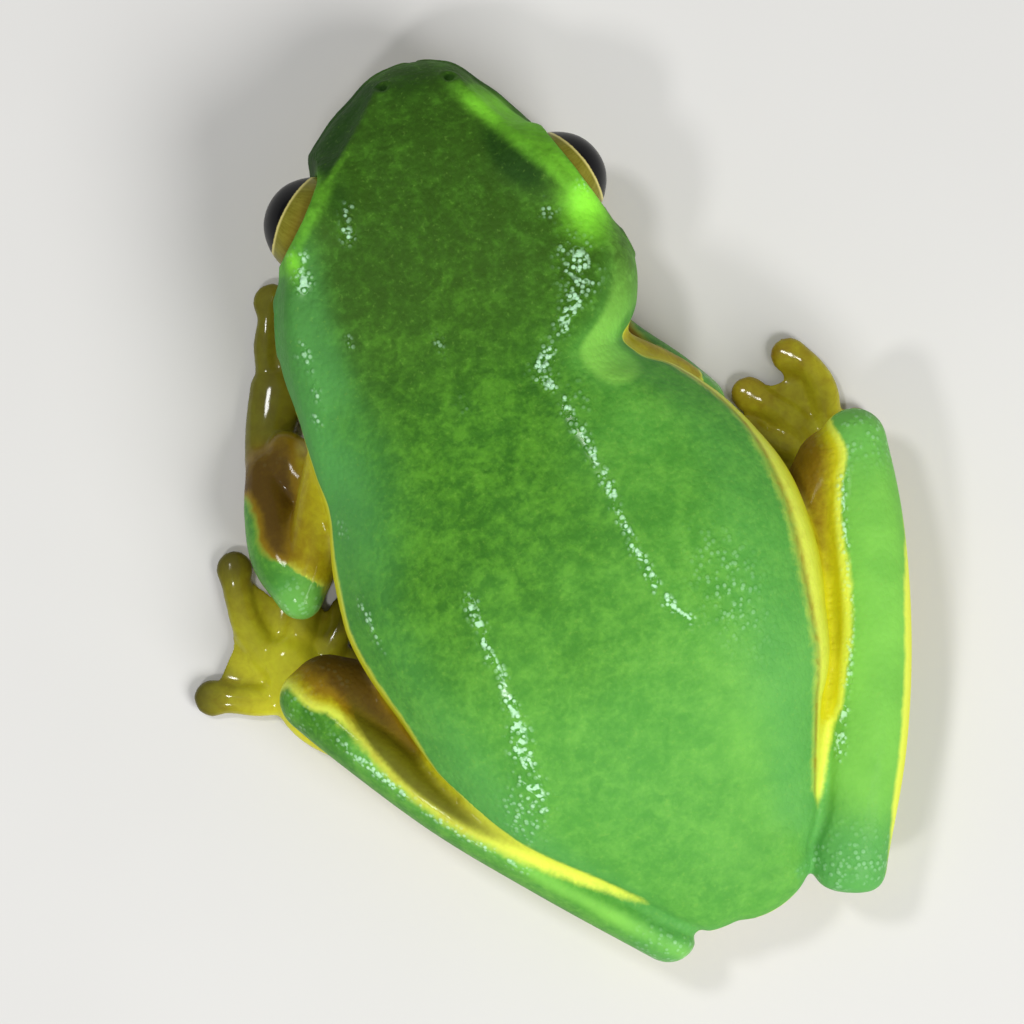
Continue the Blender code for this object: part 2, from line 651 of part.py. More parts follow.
def paint(nodes):
    """Gives each node the main colour of its own skin."""
    green = skin_material("green_skin", GREEN, 0.35)
    yellow = skin_material("yellow_skin", YELLOW, 0.3)
    ochre = skin_material("ochre_skin", OCHRE, 0.35)
    black = skin_material("eye", EYE_BLACK, 0.05)
    kinds = {"eye": black, "thigh": ochre}
    kinds.update({kind: yellow for kind in ("upper_arm", "hand", "foot", "tarsus")})
    for node in nodes:
        kind = node.name.rsplit("_", 1)[0]
        node.data.materials.clear()
        node.data.materials.append(kinds.get(kind, green))
        node.data.shade_smooth()
        node.data.set_sharp_from_angle(angle=math.radians(50))


def stand_at_origin(nodes):
    """Moves the frog so that the middle of its footprint is at the origin."""
    corners = np.concatenate([np.array([v.co for v in node.data.vertices]) for node in nodes])
    low, high = corners.min(axis=0), corners.max(axis=0)
    middle = (low + high) / 2
    for node in nodes:
        node.location = (-middle[0], -middle[1], -low[2])


def main():
    clear_scene()
    floor = floor_cutter()
    nodes = [make_head(), make_torso(floor), make_eye(1, "left"), make_eye(-1, "right")]
    nodes += make_arm("left", UPPER_ARM_LEFT, FOREARM_LEFT, HAND_LEFT, floor)
    nodes += make_arm("right", UPPER_ARM_RIGHT, FOREARM_RIGHT, HAND_RIGHT, floor)
    nodes += make_leg("left", THIGH_LEFT, SHANK_LEFT, TARSUS_LEFT, FOOT_LEFT, FOREARM_LEFT, floor)
    nodes += make_leg(
        "right", THIGH_RIGHT, SHANK_RIGHT, TARSUS_RIGHT, FOOT_RIGHT, FOREARM_RIGHT, floor
    )
    bpy.data.objects.remove(floor)
    paint(nodes)
    stand_at_origin(nodes)


main()
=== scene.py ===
import math

import bpy
import numpy as np
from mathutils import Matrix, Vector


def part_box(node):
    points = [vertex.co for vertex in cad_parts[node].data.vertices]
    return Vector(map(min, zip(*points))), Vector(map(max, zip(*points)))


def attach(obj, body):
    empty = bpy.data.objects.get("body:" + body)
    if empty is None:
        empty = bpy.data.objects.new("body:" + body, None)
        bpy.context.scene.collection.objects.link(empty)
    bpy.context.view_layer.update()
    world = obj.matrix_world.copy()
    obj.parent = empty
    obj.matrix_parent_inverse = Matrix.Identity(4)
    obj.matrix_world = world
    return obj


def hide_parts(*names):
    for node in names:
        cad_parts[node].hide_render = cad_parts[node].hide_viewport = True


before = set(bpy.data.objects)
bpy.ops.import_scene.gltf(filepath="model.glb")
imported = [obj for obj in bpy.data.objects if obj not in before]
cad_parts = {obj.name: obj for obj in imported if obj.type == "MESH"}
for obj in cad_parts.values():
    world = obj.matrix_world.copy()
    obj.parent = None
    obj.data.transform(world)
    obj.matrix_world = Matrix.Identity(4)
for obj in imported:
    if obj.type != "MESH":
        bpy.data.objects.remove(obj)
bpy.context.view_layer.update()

# ---- Trunk and head ------------------------------------------------------------------------
# The frog's body from the tip of its snout to its vent, soft flesh over a light skeleton. It
# is one loft along a spine that curves to the left, with a flat-topped head, a notch at the
# right of the neck and a broad back that is highest over the hips. Sizes are in millimetres.

BODY_LENGTH = 42.25
SNOUT_HEIGHT, SNOUT_ROUNDING, SNOUT_FRONT = 3.2, 2.3, 1.7
VENT_HEIGHT, RUMP_ROUNDING = 3.9, 2.1

# Plan of the spine from the tip of the snout to the vent: x, y
SPINE = np.array([
    (-0.33, -21.4), (0.45, -17.5), (1.15, -14), (1.75, -10.5), (1.95, -7), (1.75, -3),
    (1.35, 1), (1.1, 5), (0.95, 9), (0.8, 13), (0.2, 17), (-0.8, 20.45),
])

# Half widths to the left and right of the spine: distance from the snout, left, right
WIDTHS = np.array([
    (0, 3.2, 3.1), (1.2, 3.45, 3.05), (2, 4.1, 3.6), (3.8, 5.6, 4.95), (6, 6.6, 6.3),
    (8, 7.3, 7.4), (10, 8.2, 8.1), (12, 8.5, 8.2), (14, 8.5, 7.8), (16, 8.7, 6.85),
    (17, 8.85, 7.1), (18, 9.1, 8.15), (20, 10, 9.3), (22, 10.5, 10.1), (25, 10.5, 10.8),
    (28, 9.95, 10.55), (31, 9.45, 9.75), (34, 8.3, 8.6), (36, 6.8, 7.6),
    (38, 5, 6.7), (40, 3.8, 6), (42.25, 3.4, 5.3),
])

# Heights of the back, the widest line and the belly: distance, top, widest, bottom
HEIGHTS = np.array([
    (0, 5.3, 3.4, 2.3), (2, 6.2, 3.6, 2.1), (3.5, 7, 3.8, 2), (5, 7.6, 4, 2),
    (7, 8.2, 4.2, 2), (9, 8.6, 4.5, 1.9), (12, 9, 4.9, 1.5), (14, 9.4, 5.2, 1),
    (17, 10.1, 5.6, 0.2), (20, 10.8, 5.8, -0.4), (24, 11.3, 5.9, -0.6),
    (28, 11.3, 5.7, -0.6), (32, 10.3, 5.4, -0.6), (36, 8.4, 5, -0.3),
    (39, 6.8, 4.7, 0.6), (42.25, 5.6, 4.2, 2.2),
])

# Squareness of the upper and lower halves of a section: distance, upper, lower
POWERS = np.array([
    (0, 2.3, 2.2), (3, 2.9, 2.2), (6, 3.2, 2.1), (10, 3.5, 1.9), (13, 3.1, 1.7),
    (16, 2.5, 1.6), (24, 2.4, 1.4), (36, 2.3, 1.4), (40, 2.1, 1.8), (42.25, 2, 2),
])


def read_curve(knots, rows, wanted):
    """Rows read off a smooth curve at wanted numbers: each span between two knots is a Hermite
    cubic whose slopes at its ends are the mean slopes of the rows there."""
    knots, rows = np.asarray(knots, float), np.asarray(rows, float)
    wanted = np.clip(np.asarray(wanted, float), knots[0], knots[-1])
    slopes = np.gradient(rows, knots, axis=0)
    span = np.clip(np.searchsorted(knots, wanted, side="right") - 1, 0, len(knots) - 2)
    width = (knots[span + 1] - knots[span])[:, None]
    u = (wanted - knots[span])[:, None] / width
    return (
        rows[span] * (2 * u**3 - 3 * u**2 + 1)
        + slopes[span] * width * (u**3 - 2 * u**2 + u)
        + rows[span + 1] * (3 * u**2 - 2 * u**3)
        + slopes[span + 1] * width * (u**3 - u**2)
    )


def read_table(table, wanted):
    """Columns of a table whose first column rises, read smoothly at wanted numbers."""
    table = np.asarray(table, float)
    return read_curve(table[:, 0], table[:, 1:], wanted).T


def unit(vectors):
    """Vectors of length one along a vector, or along each row of vectors."""
    return vectors / np.linalg.norm(vectors, axis=-1, keepdims=True)


def path_lengths(points):
    """Length along a path from its start to each of its points."""
    return np.concatenate([[0.0], np.cumsum(np.linalg.norm(np.diff(points, axis=0), axis=1))])


def spine_at(distance):
    """Plan position of the spine, the way ahead and the way to the frog's left, by distance."""
    knots = path_lengths(SPINE)
    knots *= BODY_LENGTH / knots[-1]
    centre = read_curve(knots, SPINE, distance)
    before, after = (read_curve(knots, SPINE, distance + step) for step in (-0.05, 0.05))
    ahead = unit(after - before)
    return centre, ahead, np.stack([ahead[:, 1], -ahead[:, 0]], axis=1)


def trunk_sizes(distance):
    """Half widths left and right, heights and powers of the section at each distance. Near both
    ends all sizes shrink towards the end point by a quarter circle, which rounds them; the
    snout is blunter in profile than in plan."""
    left, right = read_table(WIDTHS, distance)
    heights = read_table(HEIGHTS, distance)
    upper, lower = read_table(POWERS, distance)
    front, blunt = (np.clip(distance / r, 0.0, 1.0) for r in (SNOUT_ROUNDING, SNOUT_FRONT))
    rear = np.clip((BODY_LENGTH - distance) / RUMP_ROUNDING, 0.0, 1.0)
    rear, front, blunt = (np.sqrt(1.0 - (1.0 - share) ** 2) for share in (rear, front, blunt))
    shrink = front * rear
    end = np.where(distance < BODY_LENGTH / 2, SNOUT_HEIGHT, VENT_HEIGHT)
    top, widest, bottom = end + (heights - end) * (blunt * rear)
    return left * shrink, right * shrink, top, widest, bottom, upper, lower


def trunk(distance, angle):
    """The body's surface from distance along the spine and angle round it. Each section is four
    quarters of superellipses that meet at the widest line, the back and the belly."""
    left, right, top, widest, bottom, upper, lower = (v[:, None] for v in trunk_sizes(distance))
    cos, sin = np.cos(angle)[None], np.sin(angle)[None]
    power = np.where(sin > 0, upper, lower)
    across = np.where(cos > 0, left, right) * np.sign(cos) * np.abs(cos) ** (2 / power)
    up = np.where(sin > 0, top - widest, widest - bottom)
    height = widest + up * np.sign(sin) * np.abs(sin) ** (2 / power)
    centre, _, leftward = spine_at(distance)
    x = centre[:, :1] + leftward[:, :1] * across
    y = centre[:, 1:] + leftward[:, 1:] * across
    return np.stack([x, y, height], axis=-1)


def shell(rings, first, last):
    """Points and faces of a closed surface over rings, with a single point closing each end.
    Its faces are turned round where the volume they enclose comes out negative."""
    count, sides = rings.shape[:2]
    points = np.concatenate([rings.reshape(-1, 3), [first, last]])
    index = np.arange(count * sides).reshape(count, sides)
    beside = np.roll(index, -1, axis=1)
    walls = np.stack([index[:-1], beside[:-1], beside[1:], index[1:]], axis=-1).reshape(-1, 4)
    start = np.stack([beside[0], index[0], np.full(sides, count * sides)], axis=-1)
    end = np.stack([index[-1], beside[-1], np.full(sides, count * sides + 1)], axis=-1)
    halves = np.concatenate([walls[:, :3], walls[:, [0, 2, 3]], start, end])
    if np.linalg.det(points[halves]).sum() < 0:
        halves = halves[:, ::-1]
    return points, halves


SECTION_POINTS, SECTIONS, FIRST_SECTION = 240, 420, 0.012

turns = (np.arange(SECTION_POINTS) + 0.5) * 2 * math.pi / SECTION_POINTS
sweep = np.linspace(FIRST_SECTION, math.pi - FIRST_SECTION, SECTIONS)
places = BODY_LENGTH * (0.5 - 0.5 * np.cos(sweep))
tips, _, _ = spine_at(np.array([0.0, BODY_LENGTH]))
flesh = [shell(trunk(places, turns), [*tips[0], SNOUT_HEIGHT], [*tips[1], VENT_HEIGHT])]

# ---- Arms and legs -------------------------------------------------------------------------
# Upper arms, forearms, thighs, shanks and ankles, slim muscle on bone, folded so that they
# press on each other and on the flanks. Each is a rounded tube along its bones whose ends lie
# inside its neighbours. Rows give x, y, z, half width and half height.

LIMBS = {
    "upper_arm_left": [
        (7.2, -7.6, 4.3, 1.75, 1.8), (9.2, -5.6, 4.2, 1.65, 1.7), (11.2, -3.1, 3.8, 1.4, 1.55),
        (12.75, -1.1, 3.5, 1.2, 1.3),
    ],
    "upper_arm_right": [
        (-2.4, -7.2, 4.9, 1.5, 1.5), (-3.9, -5.4, 4.7, 1.45, 1.4), (-5.6, -3.8, 4.2, 1.35, 1.3),
        (-6.7, -2.5, 3.5, 1.25, 1.25),
    ],
    "forearm_left": [
        (13.3, -0.5, 3.5, 1.15, 1.25), (13.5, -2.4, 3.1, 1.38, 1.35), (13.2, -4.4, 2.4, 1.3, 1.2),
        (12.8, -6.4, 1.7, 0.95, 0.95),
    ],
    "forearm_right": [
        (-7, -2.1, 2.7, 1.25, 1.2), (-6, -3.9, 2, 1.2, 1.15), (-4.8, -5.8, 1.7, 1.1, 1.05),
        (-4, -7.5, 1.5, 0.95, 0.9),
    ],
    "thigh_left": [
        (2.2, 15.6, 3.7, 2.5, 2.7), (5.3, 12.8, 3.4, 2.7, 2.8), (8.6, 9.2, 3.2, 2.6, 2.8),
        (11.5, 6.1, 3.4, 2.25, 2.4), (13.7, 4.1, 3.8, 1.75, 1.8),
    ],
    "thigh_right": [
        (-2.4, 17, 3.7, 2.5, 2.7), (-4.9, 14.2, 3.3, 2.7, 2.8), (-7.2, 10, 3, 2.6, 2.7),
        (-9.3, 5.8, 3.2, 2.25, 2.4), (-11.6, 2.8, 3.6, 1.75, 1.8),
    ],
    "shank_left": [
        (14.5, 4.2, 4, 1.5, 1.65), (13, 6.9, 4.5, 1.4, 1.95), (10.35, 11, 4.8, 1.42, 2.15),
        (7.05, 15.35, 4.6, 1.35, 1.85), (3.25, 20, 4, 1.3, 1.5),
    ],
    "shank_right": [
        (-12.85, 2.1, 4.1, 1.55, 1.55), (-12.05, 4.8, 4.4, 1.9, 1.7),
        (-10.45, 10, 4.4, 2.02, 1.75), (-8.1, 15.2, 4.3, 2.12, 1.7),
        (-5.85, 19.75, 3.9, 1.75, 1.5),
    ],
    "tarsus_left": [
        (3.8, 19.5, 2, 1.1, 1.1), (5.3, 17.6, 1.25, 1.15, 1.15), (8.1, 14.2, 1.05, 1.1, 1.1),
        (10.1, 11.3, 1, 1.15, 1.05),
    ],
    "tarsus_right": [
        (-6.1, 19.6, 2, 1.1, 1.1), (-7.5, 17, 1.25, 1.15, 1.15), (-9.2, 13.2, 1.05, 1.1, 1.1),
        (-10.4, 9.6, 1, 1.15, 1.05),
    ],
}


def carried(rows, count):
    """Points, way ahead, way across, way up and half sizes at even steps along a path."""
    rows = np.asarray(rows, float)
    knots = path_lengths(rows[:, :3])
    read = read_curve(knots, rows, np.linspace(0.0, knots[-1], count))
    points, sizes = read[:, :3], read[:, 3:]
    ahead = unit(np.gradient(points, axis=0))
    across = unit(np.cross(ahead, (0.0, 0.0, 1.0)))
    return points, ahead, across, np.cross(across, ahead), sizes


def ellipses(centres, across, up, sizes, sides):
    """Rings with an ellipse at each centre, from its ways across and up and its half sizes."""
    angle = np.linspace(0.0, 2 * math.pi, sides, endpoint=False)[None, :, None]
    wide = across[:, None] * np.cos(angle) * sizes[:, :1, None]
    high = up[:, None] * np.sin(angle) * sizes[:, 1:, None]
    return centres[:, None] + wide + high


def rounded_limb(rows, far_power=2.0, sides=48, count=80, caps=9):
    """An ellipse carried along a path, with each end closed by half of a ball of its own size.
    The far end's half ball is a superellipse in outline, squarer for a higher power."""
    points, ahead, across, up, sizes = carried(rows, count)
    bend = np.radians(np.linspace(4.0, 86.0, caps))
    order = np.concatenate([np.zeros(caps, int), np.arange(count), np.full(caps, count - 1)])
    square = 2.0 / far_power
    shrink = np.concatenate([np.cos(bend[::-1]), np.ones(count), np.cos(bend) ** square])
    push = np.concatenate([-np.sin(bend[::-1]), np.zeros(count), np.sin(bend) ** square])
    reach = sizes.mean(axis=1)
    centres = points[order] + ahead[order] * (push * reach[order])[:, None]
    shrunk = sizes[order] * shrink[:, None]
    rings = ellipses(centres, across[order], up[order], shrunk, sides)
    ends = points[0] - ahead[0] * reach[0], points[-1] + ahead[-1] * reach[-1]
    return shell(rings, *ends)


# The right shank ends in a heel that is squarer in outline than half a ball
HEEL_POWER = 3.2
for name, rows in LIMBS.items():
    flesh.append(rounded_limb(rows, HEEL_POWER if name == "shank_right" else 2.0))

# ---- Hands and feet ------------------------------------------------------------------------
# Palms and soles with four fingers and five toes. Each digit is slim and a little swollen at
# its joints, and ends in a round flat climbing disc. Webs of thin skin join the digits up to
# a scooped free edge.

# Half width of the discs, half width of the digits, share of their length that the webs reach,
# rows of the palm or sole, and plan points of each digit from its knuckle to its disc
HANDS_AND_FEET = {
    "foot_left": (0.84, 0.7, 0.95, [
        (10.3, 10.8, 0.95, 1.1, 1), (12.75, 7.1, 0.8, 1.4, 0.85), (14.6, 4.3, 0.75, 1.7, 0.8),
        (15, 2, 0.75, 1.2, 0.75),
    ], [
        [(14, 4.6), (13, 3.9), (12.1, 3.4)],
        [(14.3, 3.9), (13.2, 2.6), (12.3, 1.7), (11.5, 0.9)],
        [(14.7, 3.4), (14.2, 1.5), (13.4, 0.2), (12.5, -1.1)],
        [(15.3, 3.2), (15.95, 1.3), (16.2, -0.1), (16.1, -1.4), (15.75, -2.9)],
        [(15.3, 3.9), (16.4, 3.6), (17.8, 3), (19.1, 2.4)],
    ]),
    "foot_right": (0.84, 0.66, 1, [
        (-10.5, 9.1, 0.95, 1.1, 1), (-11.3, 5.6, 0.8, 1.5, 0.85), (-11.7, 2.6, 0.7, 1.7, 0.75),
    ], [
        [(-10.9, 3.2), (-9.9, 2.6), (-9.1, 2.3)],
        [(-10.9, 2.5), (-10.1, 1.4), (-9.2, 0.6), (-8.4, -0.1)],
        [(-11.2, 2.2), (-10.9, 0.6), (-10.1, -0.7), (-9.2, -1.8)],
        [(-11.8, 2), (-12.4, 0.4), (-12.6, -1), (-12.3, -2), (-11.55, -2.8)],
        [(-12.2, 2.9), (-13, 2.1), (-13.5, 1.3)],
    ]),
    "hand_left": (0.9, 0.56, 0.55, [
        (12.75, -6.7, 1.05, 0.95, 1), (11.8, -8.3, 0.75, 1.2, 0.8), (10.9, -9.7, 0.65, 1.35, 0.7),
    ], [
        [(10.5, -9), (9.3, -8.9), (8.2, -9.1)],
        [(10.3, -9.6), (8.9, -10.4), (7.5, -11.3), (6.4, -12.2)],
        [(10.6, -10.1), (9.6, -11.7), (8.5, -13.2), (7.4, -14.3)],
        [(11.2, -10), (10.9, -11.3), (10.3, -12.6), (9.6, -13.8)],
    ]),
    "hand_right": (0.9, 0.56, 0.55, [
        (-4, -7.9, 1, 0.95, 0.95), (-4.1, -9.3, 0.75, 1.2, 0.8), (-4.1, -10.6, 0.65, 1.35, 0.7),
    ], [
        [(-3.5, -10.2), (-2.2, -10.7), (-1, -11.4)],
        [(-3.6, -10.8), (-2.7, -12.3), (-1.7, -13.8)],
        [(-4.1, -11.1), (-4, -13), (-3.8, -14.9)],
        [(-4.6, -10.9), (-5.3, -12.3), (-5.9, -13.8)],
    ]),
}


# How far a digit reaches past its last plan point, and its half height on the floor
TIP_LENGTH, DIGIT_HEIGHT = 0.68, 0.5


def digit_rows(plan, disc, thick):
    """Rows of a finger or toe. Its half width is the larger, softly, of a slim bone with swollen
    joints and of a circle for the disc; it rests on the floor and arches a little between."""
    plan = np.asarray(plan, float)
    knots = path_lengths(plan)
    tip = knots[-1] + TIP_LENGTH
    place = tip * np.sin(np.linspace(0.0, 0.5 * math.pi * 0.985, 70))
    middle = tip - disc
    spread = np.clip(np.abs(place - middle) / disc, 0.0, 1.0)
    round_off = np.clip((tip - place) / disc, 0.0, 1.0) ** 0.5
    joints = np.cos(2 * math.pi * place / max(middle, 1e-3) * 2.0)
    slim = (thick + 0.1 * np.exp(-place / 0.8) + 0.035 * joints) * round_off
    wide = (slim**6 + (disc * np.sqrt(1.0 - spread**2)) ** 6) ** (1 / 6)
    flat = np.clip((place - (middle - disc)) / disc, 0.0, 1.0)
    past = np.clip(place - middle, 0.0, None) / disc
    high = (DIGIT_HEIGHT - 0.1 * flat**2) * np.clip(1.0 - past**2, 0.02, 1.0) ** 0.5
    arch = 0.12 * np.sin(math.pi * np.clip(place / max(middle, 1e-3), 0.0, 1.0))
    spots = read_curve(knots, plan, np.clip(place, 0.0, knots[-1]))
    spots = spots + unit(plan[-1] - plan[-2]) * np.clip(place - knots[-1], 0.0, None)[:, None]
    lift = DIGIT_HEIGHT - 0.1 * flat + arch
    return np.column_stack([spots, lift, wide, high])


def digit(plan, disc, thick, sides=40):
    """An ellipse carried along a finger or toe, row by row, closed at both ends by a point."""
    rows = digit_rows(plan, disc, thick)
    points = rows[:, :3]
    ahead = unit(np.gradient(points[:, :2], axis=0))
    across = np.column_stack([ahead[:, 1], -ahead[:, 0], np.zeros(len(rows))])
    rings = ellipses(points, across, np.array([[0.0, 0.0, 1.0]]), rows[:, 3:], sides)
    return shell(rings, points[0] - [*ahead[0] * 0.3, 0.0], points[-1] + [*ahead[-1] * 0.01, 0.0])


def web(inner, outer, reach, thick=0.42, scoop=0.24, height=0.42, steps=26):
    """A thin sheet between two digits. Its rows run from knuckles to free edge, and the edge is
    scooped by half a sine wave; its section is a flat closed loop with rounded sides."""
    share = np.linspace(0.0, 1.0, steps)
    loop = np.concatenate([share, share[::-1]])
    side = np.concatenate([np.ones(steps), -np.ones(steps)])
    paths = [np.asarray(p, float) for p in (inner, outer)]
    lengths = [path_lengths(p) for p in paths]
    far = reach * (1.0 - scoop * np.sin(math.pi * loop))
    rings = []
    for along in np.linspace(0.02, 1.0, steps):
        spots = [read_curve(k, p, along * k[-1] * far) for k, p in zip(lengths, paths)]
        plan = spots[0] * (1 - loop)[:, None] + spots[1] * loop[:, None]
        half = 0.5 * thick * (1.0 - 0.6 * along**8) * np.sqrt(1.0 - 0.8 * (2 * loop - 1) ** 8)
        rings.append(np.column_stack([plan, height + side * half]))
    rings = np.array(rings)
    return shell(rings, rings[0].mean(axis=0), rings[-1].mean(axis=0))


for disc, thick, reach, sole, digits in HANDS_AND_FEET.values():
    flesh.append(rounded_limb(sole))
    flesh += [digit(plan, disc, thick) for plan in digits]
    flesh += [web(inner, outer, reach) for inner, outer in zip(digits, digits[1:])]

# ---- Eyelids -------------------------------------------------------------------------------
# Thick folds of skin that wrap the eyeballs above, behind and below. They start as balls about
# the eyes, a little larger than them and with a flat front, and are opened once the skin is
# whole. The left lid is drawn back further than the right one.

EYE_RADIUS = 2.3
# The left eye's place in the solids, then each eye's here: distance, place beside, height
SOLID_EYE = (6.4, 5.5, 5.7)
EYE_PLACE = {"left": (6.8, 5.62, 5.7), "right": (6.68, 5.48, 5.7)}
# The way that each eye looks: along the spine, outwards and up
EYE_LOOK = {"left": (-1.8, 2.45, 0.12), "right": (-1.5, 2.6, -0.12)}
# The lids' radius, the depth of their rims, where the rim stands along the eye's axis, and how
# much further it reaches over the front corner of the eye, by the turn and width of that corner
LID_RADIUS, LID_RIM = 2.68, 0.16
LID_OPENING = {"left": 0.52, "right": 0.86}
LID_CORNER = {"left": (0.5, -0.2), "right": (0.05, math.pi + 0.2)}
CORNER_WIDTH = 0.95
LID_SIDES = 96
# Soft pads under the skin: distance, place beside the spine, height, radii along, across, up.
# The brows fill the step between the lids and the flat top of the head, one rounds the rump at
# the right of the vent, and one lies in the left armpit.
PADS = [
    ((6.9, 4.1, 6), (3.3, 2.7, 2.15)), ((6.9, -4.1, 6), (3.3, 2.7, 2.15)),
    ((41.15, -1.4, 3.9), (1.75, 2.7, 1.75)), ((16.4, 9.5, 1.9), (3.2, 1.5, 1.3)),
]


def beside_spine(distance, lateral, height):
    """One point in space from its distance along the spine, place to its left and height."""
    centre, _, leftward = spine_at(np.array([distance]))
    return np.array([*(centre[0] + leftward[0] * lateral), height])


def around(centre, axis, profile, sides=LID_SIDES):
    """A surface turned about an axis through centre, from rows of place along it and radius.
    The rows may be given apart for each side that the turn is made of."""
    across = unit(np.cross(axis, (0.0, 0.0, 1.0)))
    up = np.cross(across, axis)
    angle = np.linspace(0.0, 2 * math.pi, sides, endpoint=False)[None, :, None]
    profile = np.asarray(profile, float)
    profile = profile if profile.ndim == 3 else profile[:, None]
    along, radius = np.moveaxis(profile, -1, 0)[..., None]
    rings = centre + axis * along + (across * np.cos(angle) + up * np.sin(angle)) * radius
    return shell(rings[1:-1], rings[0, 0], rings[-1, 0])


def arc(polar, radius):
    """Rows of place along an axis and radius about it, by angle off the axis and length."""
    return np.stack([radius * np.cos(polar), radius * np.sin(polar)], axis=-1)


def lid_reach(label):
    """Place of the rim of a lid along the eye's axis at each side of the turn about it: the
    opening plus a smooth hill of the corner's height where the turn faces the snout."""
    angle = np.linspace(0.0, 2 * math.pi, LID_SIDES, endpoint=False)
    further, front = LID_CORNER[label]
    away = np.abs((angle - front + math.pi) % (2 * math.pi) - math.pi)
    return LID_OPENING[label] + further * np.exp(-((away / CORNER_WIDTH) ** 2))


eyes = {}
for side, label in ((1, "left"), (-1, "right")):
    along, out, height = EYE_PLACE[label]
    centre = beside_spine(along, side * out, height)
    look = EYE_LOOK[label]
    axis = beside_spine(along + look[0], side * (out + look[1]), height + look[2])
    axis = unit(axis - centre)
    eyes[label] = centre, axis
    polar = np.radians(np.linspace(180.0, 0.0, 60))[:, None]
    flat = (lid_reach(label) + LID_RIM) / np.maximum(np.cos(polar), 0.01)
    radius = np.minimum(LID_RADIUS, flat)
    radius[-1] = radius[-1].mean()
    flesh.append(around(centre, axis, arc(polar, radius)))

half_circle = arc(np.radians(np.linspace(180.0, 0.0, 60)), 1.0)
ball, faces = around(np.zeros(3), np.array([0.0, 1.0, 0.0]), half_circle)
for middle, radii in PADS:
    _, forward, leftward = spine_at(np.array([middle[0]]))
    turned = np.stack([[*forward[0], 0.0], [*leftward[0], 0.0], [0.0, 0.0, 1.0]])
    flesh.append((beside_spine(*middle) + ball[:, [1, 0, 2]] * radii @ turned, faces))

# ---- Skin ----------------------------------------------------------------------------------
# One thin moist skin over all of the flesh, smooth on the back, finely granular on the flanks
# and belly. It is drawn tight over the lofts by a fine voxel grid, relaxed where limbs join the
# body, then raised and sunk along its folds, thinned, and last opened over the eyes.

VOXEL, SKIN_TRIANGLES = 0.11, 175000


def placed(name, data):
    """A new object in the scene for a mesh, a lamp or a camera."""
    made = bpy.data.objects.new(name, data)
    bpy.context.scene.collection.objects.link(made)
    return made


def mesh_of(name, points, faces):
    mesh = bpy.data.meshes.new(name)
    mesh.from_pydata(np.asarray(points).tolist(), [], np.asarray(faces).tolist())
    mesh.update()
    return placed(name, mesh)


def finish_modifiers(piece):
    """Puts what the piece's modifiers make of its mesh in place of the mesh."""
    graph = bpy.context.evaluated_depsgraph_get()
    mesh = bpy.data.meshes.new_from_object(piece.evaluated_get(graph))
    piece.modifiers.clear()
    piece.data = mesh


def read_rows(items, field, width=3, kind=float):
    """Rows of numbers that a mesh keeps for each of its points or edges."""
    numbers = np.empty(len(items) * width, kind)
    items.foreach_get(field, numbers)
    return numbers.reshape(-1, width)


def points_of(mesh):
    return read_rows(mesh.vertices, "co")


def edges_of(mesh):
    return read_rows(mesh.edges, "vertices", 2, np.int32)


def put_points(mesh, points):
    mesh.vertices.foreach_set("co", points.ravel())
    mesh.update()


def joined(name, shells):
    """One object from closed surfaces, each given as its points and faces."""
    starts = np.cumsum([0] + [len(points) for points, _ in shells])
    faces = [faces + start for (_, faces), start in zip(shells, starts)]
    return mesh_of(name, np.concatenate([points for points, _ in shells]), np.concatenate(faces))


skin = joined("frog_skin", flesh)
drawn = skin.modifiers.new("drawn", "REMESH")
drawn.mode = "VOXEL"
drawn.voxel_size = VOXEL
finish_modifiers(skin)

# Places where the skin bridges a joint softly: x, y, z, radius, share of smoothing
JOINTS = np.array([
    (7.4, -7.4, 4.4, 3, 1), (-5, -4.6, 4.4, 2.2, 1), (4.6, 14, 2.6, 3, 0.7),
    (-5, 14.6, 2.4, 3, 0.7), (13.2, -0.7, 3.5, 1.9, 1), (-6.9, -2.3, 3.1, 1.9, 1),
    (14.2, 4.1, 3.9, 2.3, 1), (-12.3, 2.4, 3.9, 2.3, 1), (3.5, 19.8, 2.4, 1.7, 1),
    (-6, 19.7, 2.4, 1.7, 1), (12.8, -6.5, 1.4, 1.5, 1), (-4, -7.7, 1.3, 1.5, 1),
    (10.8, 11.3, 1, 1.7, 1), (-10.5, 9.4, 1, 1.7, 1),
    (*eyes["left"][0], 4.2, 1), (*eyes["right"][0], 4.2, 1),
])


def relax(points, edges, share, rounds):
    """Moves each point by its own share of the way to the mean of its neighbours, repeatedly."""
    a, b = edges.T
    count = np.bincount(edges.ravel(), minlength=len(points))[:, None]
    for _ in range(rounds):
        total = [
            np.bincount(a, points[b, k], len(points)) + np.bincount(b, points[a, k], len(points))
            for k in range(3)
        ]
        points = points + share[:, None] * (np.stack(total, axis=1) / count - points)
    return points


points = points_of(skin.data)
near = np.linalg.norm(points[:, None] - JOINTS[None, :, :3], axis=-1) / JOINTS[:, 3]
soft = (JOINTS[:, 4] * np.clip(1.6 - 1.6 * near, 0.0, 1.0)).max(axis=1)
points = relax(points, edges_of(skin.data), 0.08 + 0.5 * soft, 60)


